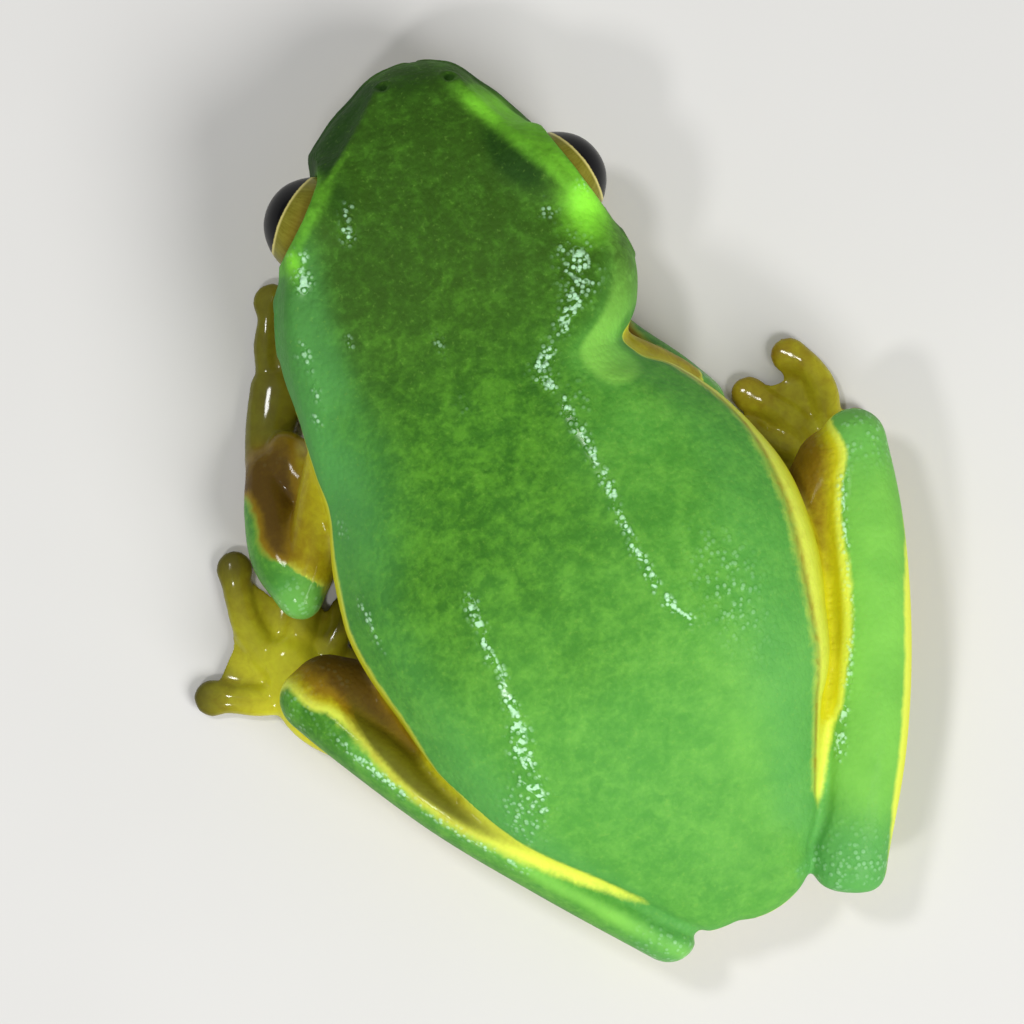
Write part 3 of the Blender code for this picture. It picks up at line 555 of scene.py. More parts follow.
def body_place(points):
    """Distance from the snout, place to the left of the spine, angle up from the widest line in
    degrees, and depth outside the plain section for points. The distance is found by stepping
    along the spine until the point lies square to it."""
    distance = np.clip(points[:, 1] - SPINE[0, 1], 0.0, BODY_LENGTH)
    for _ in range(4):
        centre, ahead, _ = spine_at(distance)
        beside = points[:, :2] - centre
        distance = np.clip(distance + (beside * ahead).sum(axis=1), 0.0, BODY_LENGTH)
    centre, _, leftward = spine_at(distance)
    lateral = ((points[:, :2] - centre) * leftward).sum(axis=1)
    # Sections are read a little inside both ends of the body, where they still have a size
    left, right, top, widest, bottom, upper, lower = trunk_sizes(np.clip(distance, 0.25, 42.0))
    above = points[:, 2] > widest
    power = np.where(above, upper, lower)
    half_width = np.where(lateral > 0, left, right)
    half_height = np.where(above, top - widest, widest - bottom)
    u = np.abs(lateral) / np.maximum(half_width, 0.05)
    v = np.abs(points[:, 2] - widest) / np.maximum(half_height, 0.05)
    angle = np.degrees(np.arctan2(v ** (power / 2), u ** (power / 2))) * np.where(above, 1, -1)
    grown = (u**power + v**power) ** (1 / power)
    outside = (grown - 1.0) * np.minimum(half_width, top - widest + 1.0)
    return distance, lateral, angle, outside


def bump(value, width):
    """A smooth hill one high at zero that falls off as a Gaussian of the given width."""
    return np.exp(-((value / width) ** 2))


def beyond(value, start, fade):
    """One from start on, fading smoothly to nothing over a length before it."""
    rise = np.clip((value - start) / fade + 1.0, 0.0, 1.0)
    return rise * rise * (3 - 2 * rise)


def span(value, start, end, fade):
    """One between start and end, fading smoothly to nothing over a length outside each."""
    return beyond(value, start, fade) * beyond(-value, -end, fade)


# Length over which neighbouring forms blend, and the depth that stands for far away
BLEND, FAR = 0.25, 9.0


def tube_place(points, path, side):
    """Depth outside an elliptical tube, share along it, place across and place up for each
    point. The nearest step of the path is taken; across and up are in half sizes, and across
    is positive away from the middle of the frog. Points that are far off keep a large depth."""
    spots, ahead, across, up, sizes = path
    across = across * np.sign(across[:, :1] * side + 1e-9)
    depth = np.full(len(points), FAR)
    along, beside, above = (np.zeros(len(points)) for _ in range(3))
    close = np.all((points > spots.min(axis=0) - 2.6) & (points < spots.max(axis=0) + 2.6), axis=1)
    here = points[close]
    nearest = np.argmin(((here[:, None] - spots[None]) ** 2).sum(axis=2), axis=1)
    away = here - spots[nearest]
    wide = (away * across[nearest]).sum(axis=1) / sizes[nearest, 0]
    high = (away * up[nearest]).sum(axis=1) / sizes[nearest, 1]
    mean = sizes[nearest].mean(axis=1)
    past = (away * ahead[nearest]).sum(axis=1) / mean
    depth[close] = (np.sqrt(wide**2 + high**2 + past**2) - 1.0) * mean
    along[close], beside[close], above[close] = nearest / (len(spots) - 1), wide, high
    return depth, along, beside, above


def pressed(points, outside):
    """One where a shank lies on the body, falling to nothing within half a millimetre on either
    side: four times the product of two nearnesses over the square of their sum."""
    depth = np.full(len(points), FAR)
    for name, side in (("shank_left", 1), ("shank_right", -1)):
        depth = np.minimum(depth, tube_place(points, carried(LIMBS[name], 70), side)[0])
    outside, depth = np.clip(outside, 0.0, FAR), np.clip(depth, 0.0, FAR)
    ratio = np.exp((outside - depth) / BLEND)
    return 4 * ratio / (1 + ratio) ** 2 * np.exp(-np.minimum(outside, depth) / BLEND)


# Lines on the head and back: distance from the snout, and place beside the spine or, for the
# mouth, height
CANTHUS = np.array([
    (0.6, 1.25), (1.2, 1.75), (2.7, 2.85), (4.2, 4), (5.6, 5.2), (7.05, 6.3), (8.1, 6.9),
])
MOUTH = np.array([
    (0, 3.05), (2, 3.12), (4, 3.3), (6, 3.5), (8, 3.75), (9.6, 3.75), (10.8, 3.3),
])
RIGHT_RIDGE = np.array([
    (10.5, -6.4), (12.5, -5.7), (14.5, -4.4), (16.5, -3.5), (19, -3.5), (22, -3.5),
    (25, -3.45), (27.5, -3.8), (30, -4.7), (33, -5.6),
])
LEFT_RIDGE = np.array([
    (10, 5.6), (14, 5), (18, 4.6), (22, 4.5), (26.3, 4.6), (29.1, 4.7), (31.7, 5),
    (34.5, 5.2),
])
# Distance, place beside and height of a nostril; distance, height and radius of an eardrum
NOSTRIL = (1.25, 1.5, 5.35)
EARDRUM = (10.35, 5.2, 1.05)


def line_at(line, distance):
    return read_table(line, distance)[0]


def from_nearest(points, spots):
    """Distance from each point to the nearest of a few spots."""
    return np.min([np.linalg.norm(points - spot, axis=1) for spot in spots], axis=0)


def head_place(points, distance, lateral):
    """Place outside the edge of the snout and above the line of the mouth, and distances from
    the middle of the eardrum, of the nearer eye and of the nearer nostril."""
    height = points[:, 2]
    canthus = np.abs(lateral) - line_at(CANTHUS, distance)
    mouth = height - line_at(MOUTH, distance)
    drum = np.hypot(distance - EARDRUM[0], height - EARDRUM[1])
    pits = [beside_spine(NOSTRIL[0], side * NOSTRIL[1], NOSTRIL[2]) for side in (1, -1)]
    return canthus, mouth, drum, from_nearest(points, eye_centres), from_nearest(points, pits)


eye_centres = [centre for centre, _ in eyes.values()]
distance, lateral, angle, outside = body_place(points)
canthus, mouth, drum, from_eye, from_nostril = head_place(points, distance, lateral)
height = points[:, 2]

# The relief of the skin: the edges of the snout, lips, nostrils, eardrums, the fold above each,
# the ridges and hollows of the back, the notch of the neck, the edges of the flanks, and faint
# waves. Rows give how far a hill rises, the value that it follows, its middle and its width on
# that, where it starts and ends along the body and how it fades there, and its share.
on_body = np.clip(1.0 - (outside - 0.7) / 0.5, 0.0, 1.0)
upper = np.clip((angle + 8.0) / 12.0, 0.0, 1.0)
low = span(angle, -99.0, 2.0, 12.0)
drum_side = span(angle, -30.0, 34.0, 5.0)
drum_fold = angle + 2.6 * (distance - 8.1)
right_crest = lateral - line_at(RIGHT_RIDGE, distance)
left_crest = lateral - line_at(LEFT_RIDGE, distance)
notch = bump(distance - 15.9 + 0.25 * (lateral + 7.0), 0.55) * span(angle, 8.0, 60.0, 12.0)
whole, lips, flank = (0.0, 43.0, 1.0), (-1.0, 10.0, 0.9), (18.0, 37.0, 3.0)
waves = np.sin(points @ [0.9, 0.5, 0.3] + 1.0) * np.sin(points @ [-0.4, 0.8, 0.5])
relief = 0.035 * waves * (angle > 0)
for rise, value, middle, width, stretch, share in (
    (0.16, canthus, 0.0, 0.42, (1.6, 5.6, 1.0), upper),
    (-0.26, canthus, 1.0, 0.75, (2.2, 5.0, 1.8), upper * beyond(from_eye, 4.3, 1.6)),
    (-0.48, mouth, 0.0, 0.17, lips, low),
    (0.13, mouth, 0.45, 0.3, lips, low),
    (0.06, mouth, -0.42, 0.25, lips, low),
    (0.09, from_nostril, 0.42, 0.2, whole, 1.0),
    (-0.42, from_nostril, 0.0, 0.2, whole, 1.0),
    (0.09, drum, EARDRUM[2], 0.2, whole, drum_side),
    (-0.06, drum, 0.0, 0.75, whole, drum_side),
    (0.22, drum_fold, 41.0, 10.0, (8.8, 15.8, 1.6), np.where(lateral > 0, 1.0, 0.25)),
    (0.16, lateral, 7.15, 0.5, (9.2, 13.6, 1.4), angle > 5),
    (0.3, lateral, -7.1, 1.15, whole, bump(distance - 11.2, 2.2) * (angle > 5)),
    (0.17, right_crest, 0.0, 0.95, (13.5, 28.5, 3.5), 1.0),
    (-0.1, right_crest, 1.9, 1.2, (16.5, 28.5, 3.5), 1.0),
    (0.16, left_crest, 0.0, 1.2, (16.0, 33.0, 4.0), 1.0),
    (-0.14, lateral, 0.6, 2.2, (19.0, 33.0, 4.0), angle > 20),
    (0.3, distance, 17.8, 2.4, whole, bump(angle - 52.0, 14.0)),
    (-0.35, lateral, -8.0, 2.0, whole, notch),
    (0.1, angle, 17.0, 4.0, flank, lateral > 0),
    (0.05, angle, 20.0, 5.0, flank, lateral < 0),
):
    relief += rise * bump(value - middle, width) * span(distance, *stretch) * share
relief = relief * on_body - 0.3 * pressed(points, outside) ** 2 * (height > 2.6)
points = points + read_rows(skin.data.vertex_normals, "vector") * relief[:, None]
crease = pressed(points, body_place(points)[3])
points = relax(points, edges_of(skin.data), 0.5 * np.clip(2.0 * crease, 0.0, 1.0), 8)
points[:, 2] = np.maximum(points[:, 2], 0.0)
put_points(skin.data, points)

thinned = skin.modifiers.new("thinned", "DECIMATE")
thinned.ratio = min(1.0, SKIN_TRIANGLES / sum(len(p.vertices) - 2 for p in skin.data.polygons))
finish_modifiers(skin)

# The opening over each eye follows the eyeball a hair's breadth off, rounds the rim of the lid
# and then flares: steps past the end of the bowl, then places, along the axis and away from it
SOCKET_RADIUS = EYE_RADIUS + 0.04
RIM_STEPS = [(0.07, 0.02), (0.13, 0.08), (0.17, 0.17), (0.24, 0.3), (0.5, 0.75), (1.1, 1.7)]
FLARE = [(4, 4), (4.5, 0)]

openings = []
for label, (centre, axis) in eyes.items():
    end = np.arccos(lid_reach(label) / SOCKET_RADIUS)
    polar = np.linspace(np.full(LID_SIDES, math.pi), end, 50)
    bowl = arc(polar, SOCKET_RADIUS)
    rim = bowl[-1] + np.array(RIM_STEPS)[:, None]
    flare = np.tile(np.array(FLARE)[:, None], (1, LID_SIDES, 1))
    openings.append(around(centre, axis, np.concatenate([bowl, rim, flare])))
cutter = joined("opening_cutter", openings)
opened = skin.modifiers.new("opened", "BOOLEAN")
opened.operation = "DIFFERENCE"
opened.solver = "MANIFOLD"
opened.object = cutter
finish_modifiers(skin)
bpy.data.objects.remove(cutter)
points = points_of(skin.data)
by_lid = span(from_nearest(points, eye_centres), 2.55, 3.6, 0.12)
points = relax(points, edges_of(skin.data), 0.5 * by_lid, 8)
put_points(skin.data, points)

# ---- Places on the skin --------------------------------------------------------------------
# The colours of the skin follow the body: green on the back and on the outer sides of the
# limbs, yellow where the folded limbs hide it, pale below. Each point of the skin gets the
# marks of the form that it lies on, blended over a quarter of a millimetre at the joins.

# Where green gives way to yellow on the flanks: distance, angle on the left, on the right
FLANK_LINE = np.array([
    (0, -14, -14), (10, -14, -14), (12, -12, -10), (14, 2, 0),
    (16, 12, 7), (18, 15, 12), (20, 17, 14), (22, 17, 18),
    (24, 17, 24), (26, 17, 27.5), (33, 15, 26.5), (36, 11, 23.5),
    (38, 8, 25), (40, 4, 24), (41, 2, 14), (42.3, 0, 0),
])

# Where the yellow of the inner side gives way to green across a limb: share along it, place
# across from -1 at the inner edge to 1 at the outer edge, and marks for ochre and wetness
LIMB_LINES = {
    "upper_arm": ([(0, 2.5), (0.88, 2.3), (0.96, 0.5), (1, -0.7)], 0.62, 0.5),
    "forearm": (
        [(0, -1.6), (0.12, -0.8), (0.28, 0.3), (0.6, 0.6), (0.85, 1.2), (1, 2.5)], 1.3, 0.6,
    ),
    "thigh_left": ([(0, 2.5), (1, 2.5)], 1.5, 0.3),
    "thigh_right": ([(0, 2.5), (1, 2.5)], 1, 0.3),
    "shank_left": (
        [(0, -1.3), (0.1, -0.3), (0.22, 0.2), (0.6, 0.25), (0.8, -0.35), (1, -1.2)], 0.4, 0.4,
    ),
    "shank_right": (
        [(0, -1.5), (0.1, -1), (0.22, -0.6), (0.6, -0.6), (0.8, -0.95), (1, -1.5)], 0.05, 0.3,
    ),
    "tarsus": ([(0, 0.1), (0.4, 0.4), (0.8, 1.1), (1, 2.5)], 0.5, 0.5),
}
# Marks for ochre on the soles and at the tips of the digits, and for darkening on both, which is
# painted shade and at the tips partly the digits' own darker tone
SOLE_TONES = {
    "foot_left": (0.3, 0.75, 0.05, 1.1), "foot_right": (0.42, 0.72, 0, 0),
    "hand_left": (0.5, 0.5, 0.78, 0.72), "hand_right": (0.5, 0.8, 0.3, 0.5),
}


def flat_path(rows):
    """The path of a finger or toe in the form that tube_place reads."""
    ahead = unit(np.gradient(rows[:, :3], axis=0))
    across = np.column_stack([ahead[:, 1], -ahead[:, 0], np.zeros(len(rows))])
    return rows[:, :3], ahead, across, np.tile((0.0, 0.0, 1.0), (len(rows), 1)), rows[:, 3:]


points = points_of(skin.data)
points[:, 2] = np.maximum(points[:, 2], 0.0)
put_points(skin.data, points)
distance, lateral, angle, outside = body_place(points)
canthus, mouth, drum, from_eye, from_nostril = head_place(points, distance, lateral)
height = points[:, 2]
left_line, right_line = read_table(FLANK_LINE, distance)
line = np.where(lateral > 0, left_line, right_line)

# Lines where the skin is wet and glitters, with painted glints: distance and place beside the spine
RIGHT_STREAK = np.array([
    (11, -6), (11.89, -5.8), (14.04, -4.1), (15.59, -2.75), (17.31, -2.86), (18.97, -3.05),
    (21.56, -3.05), (23.42, -2.9), (25.4, -2.94), (27.48, -3.24), (28.72, -3.92),
])
LEFT_STREAK = np.array([(23.5, 4.8), (26.33, 4.97), (29.12, 5.05), (31.71, 5.48), (33.7, 5.6)])
# Painted light: a lit line behind the right eye and down to the notch of the neck
LIT_TEMPLE = np.array([
    (8, -7.5), (10, -8), (12, -8), (14, -7), (15.5, -5.5), (17.5, -5.9), (19, -6.6),
])
# Spots that glitter, with painted glints: distance, place beside the spine, radius along,
# radius across, strength
WET_AND_GLINT_SPOTS = [
    (11.2, -5.75, 1.9, 0.95, 1), (8.3, 6.55, 0.6, 0.5, 1.1), (9.2, 6.6, 0.65, 0.5, 1.1),
    (6.5, 4, 0.45, 0.4, 0.8), (7.4, 4.15, 0.55, 0.42, 0.9),
    (11.8, 7.2, 0.6, 0.28, 0.9), (13.2, 7.2, 0.6, 0.25, 0.8),
    (11.8, 5.2, 0.4, 0.3, 0.7), (12.9, 1.3, 0.6, 0.25, 0.6), (11.8, 7.6, 0.4, 0.25, 0.7),
    (14.1, 7.6, 0.5, 0.25, 0.7), (15.8, 1.2, 0.6, 0.5, 0.35), (28, -6, 3.6, 1.9, 0.42),
    (33.6, 6.4, 1.5, 1, 0.6), (8, -4.9, 0.6, 0.5, 0.6), (7.2, -6.6, 0.5, 0.4, 0.5),
    (17.6, -3.4, 1.6, 1.2, 0.35), (18.5, 8.6, 0.9, 0.35, 0.5), (22.5, 9.3, 2, 0.3, 0.7),
]


def blot(place, beside, along, across):
    """A smooth hill over an oval on the body, from its place and its two radii."""
    return bump(np.hypot((distance - place) / along, (lateral - beside) / across), 1.0)


# Wetness of the grains, which also places the painted glints
width = 0.3 + 0.42 * span(distance, 12.5, 15.5, 1.5)
wet = bump(lateral - line_at(RIGHT_STREAK, distance), width) * span(distance, 11.2, 28.6, 0.5)
width = 0.36 + 0.25 * span(distance, 30.5, 34.0, 1.5)
streak = bump(lateral - line_at(LEFT_STREAK, distance), width) * span(distance, 23.8, 33.6, 0.8)
wet = np.maximum(wet, streak)
for *oval, strength in WET_AND_GLINT_SPOTS:
    wet = np.maximum(wet, blot(*oval) * strength)
wet *= angle > 0

# Lighter skin and painted light: a thin line along the left edge of the snout and lighter rims
# of the lids over the eyes, and painted light over the lit right side of the snout and on a
# patch behind each eye, the right one larger
left_stripe = 0.28 * span(canthus, -0.12, 0.12, 0.24) * span(distance, 4.2, 7.2, 1.2)
right_lit_side = (0.45 + 0.3 * bump(distance - 2.4, 1.4)) * span(canthus, -0.2, 4.0, 1.0)
right_lit_side *= span(distance, 3.0, 7.2, 2.6) * span(angle, 14.0, 90.0, 24.0)
stripe_and_lit_side = np.where(lateral > 0, left_stripe, right_lit_side) * (angle > -4)
rim = span(from_eye, 2.2, 2.75, 0.45) * span(distance, 4.8, 8.6, 1.0) * beyond(height, 5.6, 0.9)
facing = np.zeros(len(points))
for label, (centre, axis) in eyes.items():
    along = (points - centre) @ axis
    same_side = (lateral > 0) == (label == "left")
    facing += span(along, LID_OPENING[label] - 0.25, 3.0, 0.5) * same_side
rim *= facing * np.where(lateral > 0, 0.36, 0.5)
lit_patch = np.maximum(blot(8.1, -6.75, 1.9, 1.25), 0.75 * blot(8.3, 6.9, 0.9, 0.5))
bright = np.maximum.reduce([stripe_and_lit_side, rim, 0.95 * lit_patch * span(angle, 20.0, 90.0, 18.0)])
lit_temple = bump(lateral - line_at(LIT_TEMPLE, distance), 1.0) * span(distance, 8.0, 17.0, 1.5)

# Darker skin and painted shade: the tip of the snout and a ring round each eardrum are darker
# skin; the sides of the snout, the hollows before the eyes, the gape and the nostrils are
# darkened as painted shade
tip = blot(0.9, 0.4, 1.5, 2.0)
pit = blot(5.2, -3.85 - 0.4 * (distance - 5.2), 1.7, 1.05)
pit = np.maximum(pit, 0.4 * blot(5.8, 4.4, 1.4, 0.9))
loreal = span(canthus, 0.35, 9.0, 0.4) * span(distance, 1.0, 6.4, 0.8)
loreal *= span(angle, -12.0, 60.0, 8.0)
loreal *= np.where(lateral > 0, 1.0, 0.9 * (angle < 4))
gape = bump(mouth, 0.2) * span(distance, -1.0, 10.6, 0.6) * span(angle, -99.0, 6.0, 8.0)
drum_ring = bump(drum - EARDRUM[2], 0.22) * span(angle, -30.0, 34.0, 5.0)
dusky = np.maximum.reduce([
    0.5 * tip, 1.5 * pit * (angle > 10), 0.9 * loreal, 1.3 * gape, 1.6 * bump(from_nostril, 0.3),
    0.32 * drum_ring,
])

# The body's marks: yellow where it isn't green, ochre on that, the pale belly, three shades of
# green which are partly painted light and shade, lighter skin with painted light, darker skin
# with painted shade, and wetness in grains, with painted glints, and as a smooth film
marks = {
    "yellow": np.clip((line - angle) * np.where(lateral > 0, 0.13, 0.05), -3.0, 3.0),
    "ochre": 0.25 * span(line - angle, 2.0, 30.0, 5.0) * (distance > 13.0)
    + 0.4 * bump(line - angle - 1.0, 3.0) * span(distance, 19.0, 39.0, 4.0) * (lateral < 0),
    "belly": span(line - angle, 24.0, 200.0, 16.0) * span(angle, -91.0, -16.0, 16.0),
    # Bluish green toward the flanks and the rump; on the left of the head behind the eye it is
    # painted light
    "bluish": 0.4 * span(line - angle, -20.0, 5.0, 24.0) * span(distance, 9.0, 43.0, 4.0)
    + 0.3 * span(distance, 34.0, 43.0, 8.0)
    + 0.6 * span(distance, 9.5, 15.0, 9.0) * beyond(lateral, 7.0, 4.0)
    + 0.35 * span(distance, 9.0, 13.0, 2.0) * beyond(lateral, 6.4, 1.5),
    # Lighter green: partly the rump's own colour and partly painted light; painted light on the
    # right side, the right shoulder, the line behind the right eye and the fold behind the left eye
    "fresh": beyond(distance, 35.0, 19.0) + 0.3 * beyond(-lateral, 5.0, 7.0)
    + 1.1 * bump(lateral - 7.15, 0.42) * span(distance, 9.0, 13.6, 1.2) * (angle > 5)
    + 2.1 * lit_temple * span(angle, -8.0, 90.0, 12.0)
    + 0.5 * bump(distance - 19.0, 4.0) * bump(lateral + 6.0, 2.5),
    # The head is darker, partly its own duller green and partly painted shade
    "head": span(distance, -1.0, 8.0, 12.0) * (1.0 - 0.5 * beyond(lateral, 6.2, 1.5)),
    "bright": bright,
    "dusky": dusky,
    "wet": wet,
    "film": 0.4 * span(line - angle, -2.0, 60.0, 3.0),
}
crease = pressed(points, outside) * span(distance, -9.0, 38.5, 1.5)
crease *= 1.0 - 0.5 * beyond(distance, 34.0, 3.0) * (lateral > 0)
marks["yellow"] = np.maximum(marks["yellow"], 1.5 * crease - 0.5)
# Painted shade: ochre darkens the crease where the right shank presses on the body
marks["ochre"] = np.maximum(marks["ochre"], 1.1 * crease**8 * (lateral < 0))
total = np.exp(-np.clip(outside, 0.0, FAR) / BLEND)
for name in marks:
    marks[name] = np.clip(marks[name], -3.0, 3.0) * total


def lay(depth, **values):
    """Adds the marks of one form to the sums, each weighted by how near the form is."""
    share = np.exp(-np.clip(depth, 0.0, FAR) / BLEND) * (depth < FAR)
    total[:] += share
    for name in marks:
        marks[name] += share * values.get(name, 0.0)


for name, rows in LIMBS.items():
    side = 1 if name.endswith("left") else -1
    line, ochre, moist = LIMB_LINES.get(name) or LIMB_LINES[name.rsplit("_", 1)[0]]
    depth, along, beside, above = tube_place(points, carried(rows, 70), side)
    if name.startswith("thigh"):
        depth += 4.0 * span(along, -1.0, 0.12, 0.25)
    shares = np.linspace(0.0, 1.0, len(rows))
    half = line_at(np.column_stack([shares, np.array(rows)[:, 3]]), along)
    border = line_at(line, along)
    under = (-0.25 - above) * half * 1.5
    yellow = np.maximum((border - beside) * half, under)
    shank, forearm = name.startswith("shank"), name.startswith("forearm")
    # A thin yellow lip runs along the outer edge of the right shank and nowhere else
    lip = span(along, 0.42, 0.8, 0.3) * (name == "shank_right")
    yellow = np.maximum(yellow, (beside - 1.06 + 0.25 * lip) * half * 2.0 - FAR * (lip == 0))
    hidden = beyond(border - beside, -0.1 if forearm else 0.1, 0.4)
    if name == "thigh_right":
        hidden *= beyond(along, 0.8, 0.25)
    joint = np.maximum(bump(along, 0.1), bump(along - 1.0, 0.12))
    yellow = yellow * (1.0 - 0.6 * bump(along, 0.15))
    # light is painted light on a limb's green, most at the joints; shade is painted shade; shine is
    # a wet gloss line that also gets painted glints
    shine, light, shade = 0.0, 0.3 + 0.8 * joint, 0.0
    blue = 0.2 + (0.4 * bump(along, 0.1) + 0.7 * bump(along - 1.0, 0.12)) * shank
    if forearm:
        hidden *= 0.4 + 0.6 * beyond(border - beside, 0.5, 0.6)
        blue += 0.5 * joint
        light = 0.5 + 1.2 * joint
    if name == "shank_left":
        blue = 0.6 * bump(along - 1.0, 0.12)
        shine = bump(beside - 0.42, 0.2) * span(along, 0.16, 0.6, 0.08) * (above > 0)
        # Painted light towards the heel and along the outer half of the left shank
        light = 0.3 + 0.5 * along + 0.9 * bump(beside - 0.3, 0.4) * span(along, 0.2, 1.0, 0.1)
        # Painted shade over the inner face of the left shank
        shade = 1.1 * beyond(border - beside, 0.5, 0.5) * span(along, 0.0, 0.5, 0.25)
        hidden *= span(along, -1.0, 0.55, 0.2)
    if name == "shank_right":
        shine = bump(beside + 0.47, 0.13) * span(along, 0.1, 0.72, 0.08) * (above > 0)
        # Painted light over the whole right shank, a little less at the heel
        light = 1.5 - 0.3 * bump(along - 1.0, 0.12)
    if name == "thigh_left":
        # Painted shade over the left thigh
        shade = 0.3
        hidden *= beyond(along, 0.5, 0.3)
    lay(
        depth, yellow=yellow, ochre=ochre * hidden, fresh=light, dusky=shade, bluish=blue,
        belly=0.9 * np.clip(-0.5 - above, 0.0, 0.5),
        wet=0.36 * joint + (1.2 if side < 0 else 0.9) * shine, film=np.maximum(shine, moist),
    )
for name, (disc, thick, _, sole, digits) in HANDS_AND_FEET.items():
    side = 1 if name.endswith("left") else -1
    depth = tube_place(points, carried(sole, 40), side)[0]
    # Soles and digits take painted shade; the tips of the digits are also darker in tone
    sole_ochre, tip_ochre, sole_painted_shade, tip_dark_and_shade = SOLE_TONES[name]
    lay(depth, yellow=1.0, ochre=sole_ochre, dusky=sole_painted_shade, film=1.0)
    for plan in digits:
        path = flat_path(digit_rows(plan, disc, thick))
        depth, along = tube_place(points, path, side)[:2]
        lay(
            depth, yellow=1.0, ochre=sole_ochre + (tip_ochre - sole_ochre) * along,
            dusky=sole_painted_shade + (tip_dark_and_shade - sole_painted_shade) * along, film=0.9,
        )


def put_mark(mesh, name, values):
    """Stores a number, or three of them, on every point of a mesh."""
    kind, field = ("FLOAT", "value") if values.ndim == 1 else ("FLOAT_VECTOR", "vector")
    mark = mesh.attributes.new(name, kind, "POINT")
    mark.data.foreach_set(field, values.astype(np.float32).ravel())


for name, sums in marks.items():
    put_mark(skin.data, name, sums / total)

# The lofts are in millimetres and the frame is in metres: the left eye of the solids, at its
# place beside the spine, gives the shift between the two
corners = [np.array(corner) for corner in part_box("eye_left")]
SHIFT = (corners[0] + corners[1]) / 2 - beside_spine(*SOLID_EYE) / 1000
put_points(skin.data, points / 1000 + SHIFT)
skin.data.polygons.foreach_set("use_smooth", np.ones(len(skin.data.polygons), bool))

# ---- Colour of the skin --------------------------------------------------------------------
# A living frog's skin: green pigment finely mottled with yellow and dark cells, lemon yellow on
# the hidden faces, ochre in the hollows, partly as painted shade in the creases. It is moist and
# finely granular, so that small lamps glitter on the grains where it is wettest; pale painted
# glints are laid on those grains too, and painted light and shade lighten and darken the skin.


def add(tree, kind, **settings):
    made = tree.nodes.new(kind)
    for name, value in settings.items():
        setattr(made, name, value)
    return made


def feed(tree, node, sources):
    """Gives inputs of a node, by name or number, what they take: the output of another node is
    linked, and a number or a colour is set."""
    for name, source in sources.items():
        if isinstance(source, bpy.types.NodeSocket):
            tree.links.new(source, node.inputs[name])
        else:
            node.inputs[name].default_value = source


def sum_of(tree, operation, *values):
    made = add(tree, "ShaderNodeMath", operation=operation)
    feed(tree, made, dict(enumerate(values)))
    return made.outputs[0]


def spread(tree, value, low, high, to_low=0.0, to_high=1.0):
    """A number that turns smoothly from to_low to to_high as value goes from low to high."""
    made = add(tree, "ShaderNodeMapRange", interpolation_type="SMOOTHSTEP")
    ends = {"From Min": low, "From Max": high, "To Min": to_low, "To Max": to_high}
    feed(tree, made, {"Value": value, **ends})
    return made.outputs["Result"]


def blended(tree, share, first, second):
    made = add(tree, "ShaderNodeMix", data_type="RGBA", blend_type="MIX")
    feed(tree, made, {0: share, 6: first, 7: second})
    return made.outputs[2]


def layered(tree, base, *layers):
    """A colour with others laid over it. Each layer gives the value that it follows, where it
    starts and where it is full, how much it then covers, and its colour."""
    for value, start, full, cover, colour in layers:
        base = blended(tree, spread(tree, value, start, full, 0.0, cover), base, colour)
    return base


def noise(tree, place, size, detail=2.0, roughness=0.5, distortion=0.0):
    """Cloudy noise whose blobs are about size metres across."""
    made = add(tree, "ShaderNodeTexNoise")
    feed(tree, made, {"Scale": 1.0 / size, "Detail": detail, "Roughness": roughness})
    feed(tree, made, {"Distortion": distortion, "Vector": place})
    return made.outputs["Fac"]


def grains(tree, place, pitch, reach=0.62):
    """Round grains on a jittered grid: one less the square of the distance from the middle of a
    grain over its reach, which is a share of the pitch."""
    made = add(tree, "ShaderNodeTexVoronoi", feature="F1")
    feed(tree, made, {"Scale": 1.0 / pitch, "Randomness": 0.85, "Vector": place})
    square = sum_of(tree, "POWER", sum_of(tree, "DIVIDE", made.outputs["Distance"], reach), 2.0)
    return sum_of(tree, "MAXIMUM", sum_of(tree, "SUBTRACT", 1.0, square), 0.0)


def new_paint(name):
    """A new material, with its nodes, its shader and the place in the object's own space."""
    paint = bpy.data.materials.new(name)
    paint.use_nodes = True
    tree = paint.node_tree
    place = add(tree, "ShaderNodeTexCoord").outputs["Object"]
    return paint, tree, tree.nodes["Principled BSDF"], place


GREEN_DEEP = (0.036, 0.155, 0.01, 1)
GREEN_OLIVE = (0.098, 0.31, 0.02, 1)
GREEN_HEAD = (0.034, 0.092, 0.006, 1)
GREEN_RUMP = (0.08, 0.31, 0.036, 1)
GREEN_FRESH = (0.16, 0.45, 0.06, 1)
# Pale green used for painted light
GREEN_PALE_AND_LIT = (0.26, 0.65, 0.09, 1)
GREEN_BLUISH = (0.1, 0.37, 0.085, 1)
# Painted light, and the lighter stripe and lid rims
GREEN_STRIPE_AND_LIT = (0.28, 0.84, 0.045, 1)
# Painted shade on the green, and the darker skin of the snout tip and eardrum rings
GREEN_DARK_AND_SHADE = (0.013, 0.055, 0.004, 1)
YELLOW = (0.66, 0.64, 0.012, 1)
YELLOW_PALE = (0.74, 0.84, 0.09, 1)
OCHRE = (0.25, 0.155, 0.003, 1)
# Painted shade on the yellow faces, and the darker tips of the digits
OLIVE_DARK_AND_SHADE = (0.06, 0.06, 0.003, 1)
MAROON = (0.07, 0.034, 0.003, 1)
BELLY = (0.72, 0.68, 0.42, 1)
FLECK = (0.22, 0.42, 0.06, 1)
# Painted highlight: the pale colour of glints laid on wet grains
PAINTED_GLINT = (0.55, 0.9, 0.58, 1)

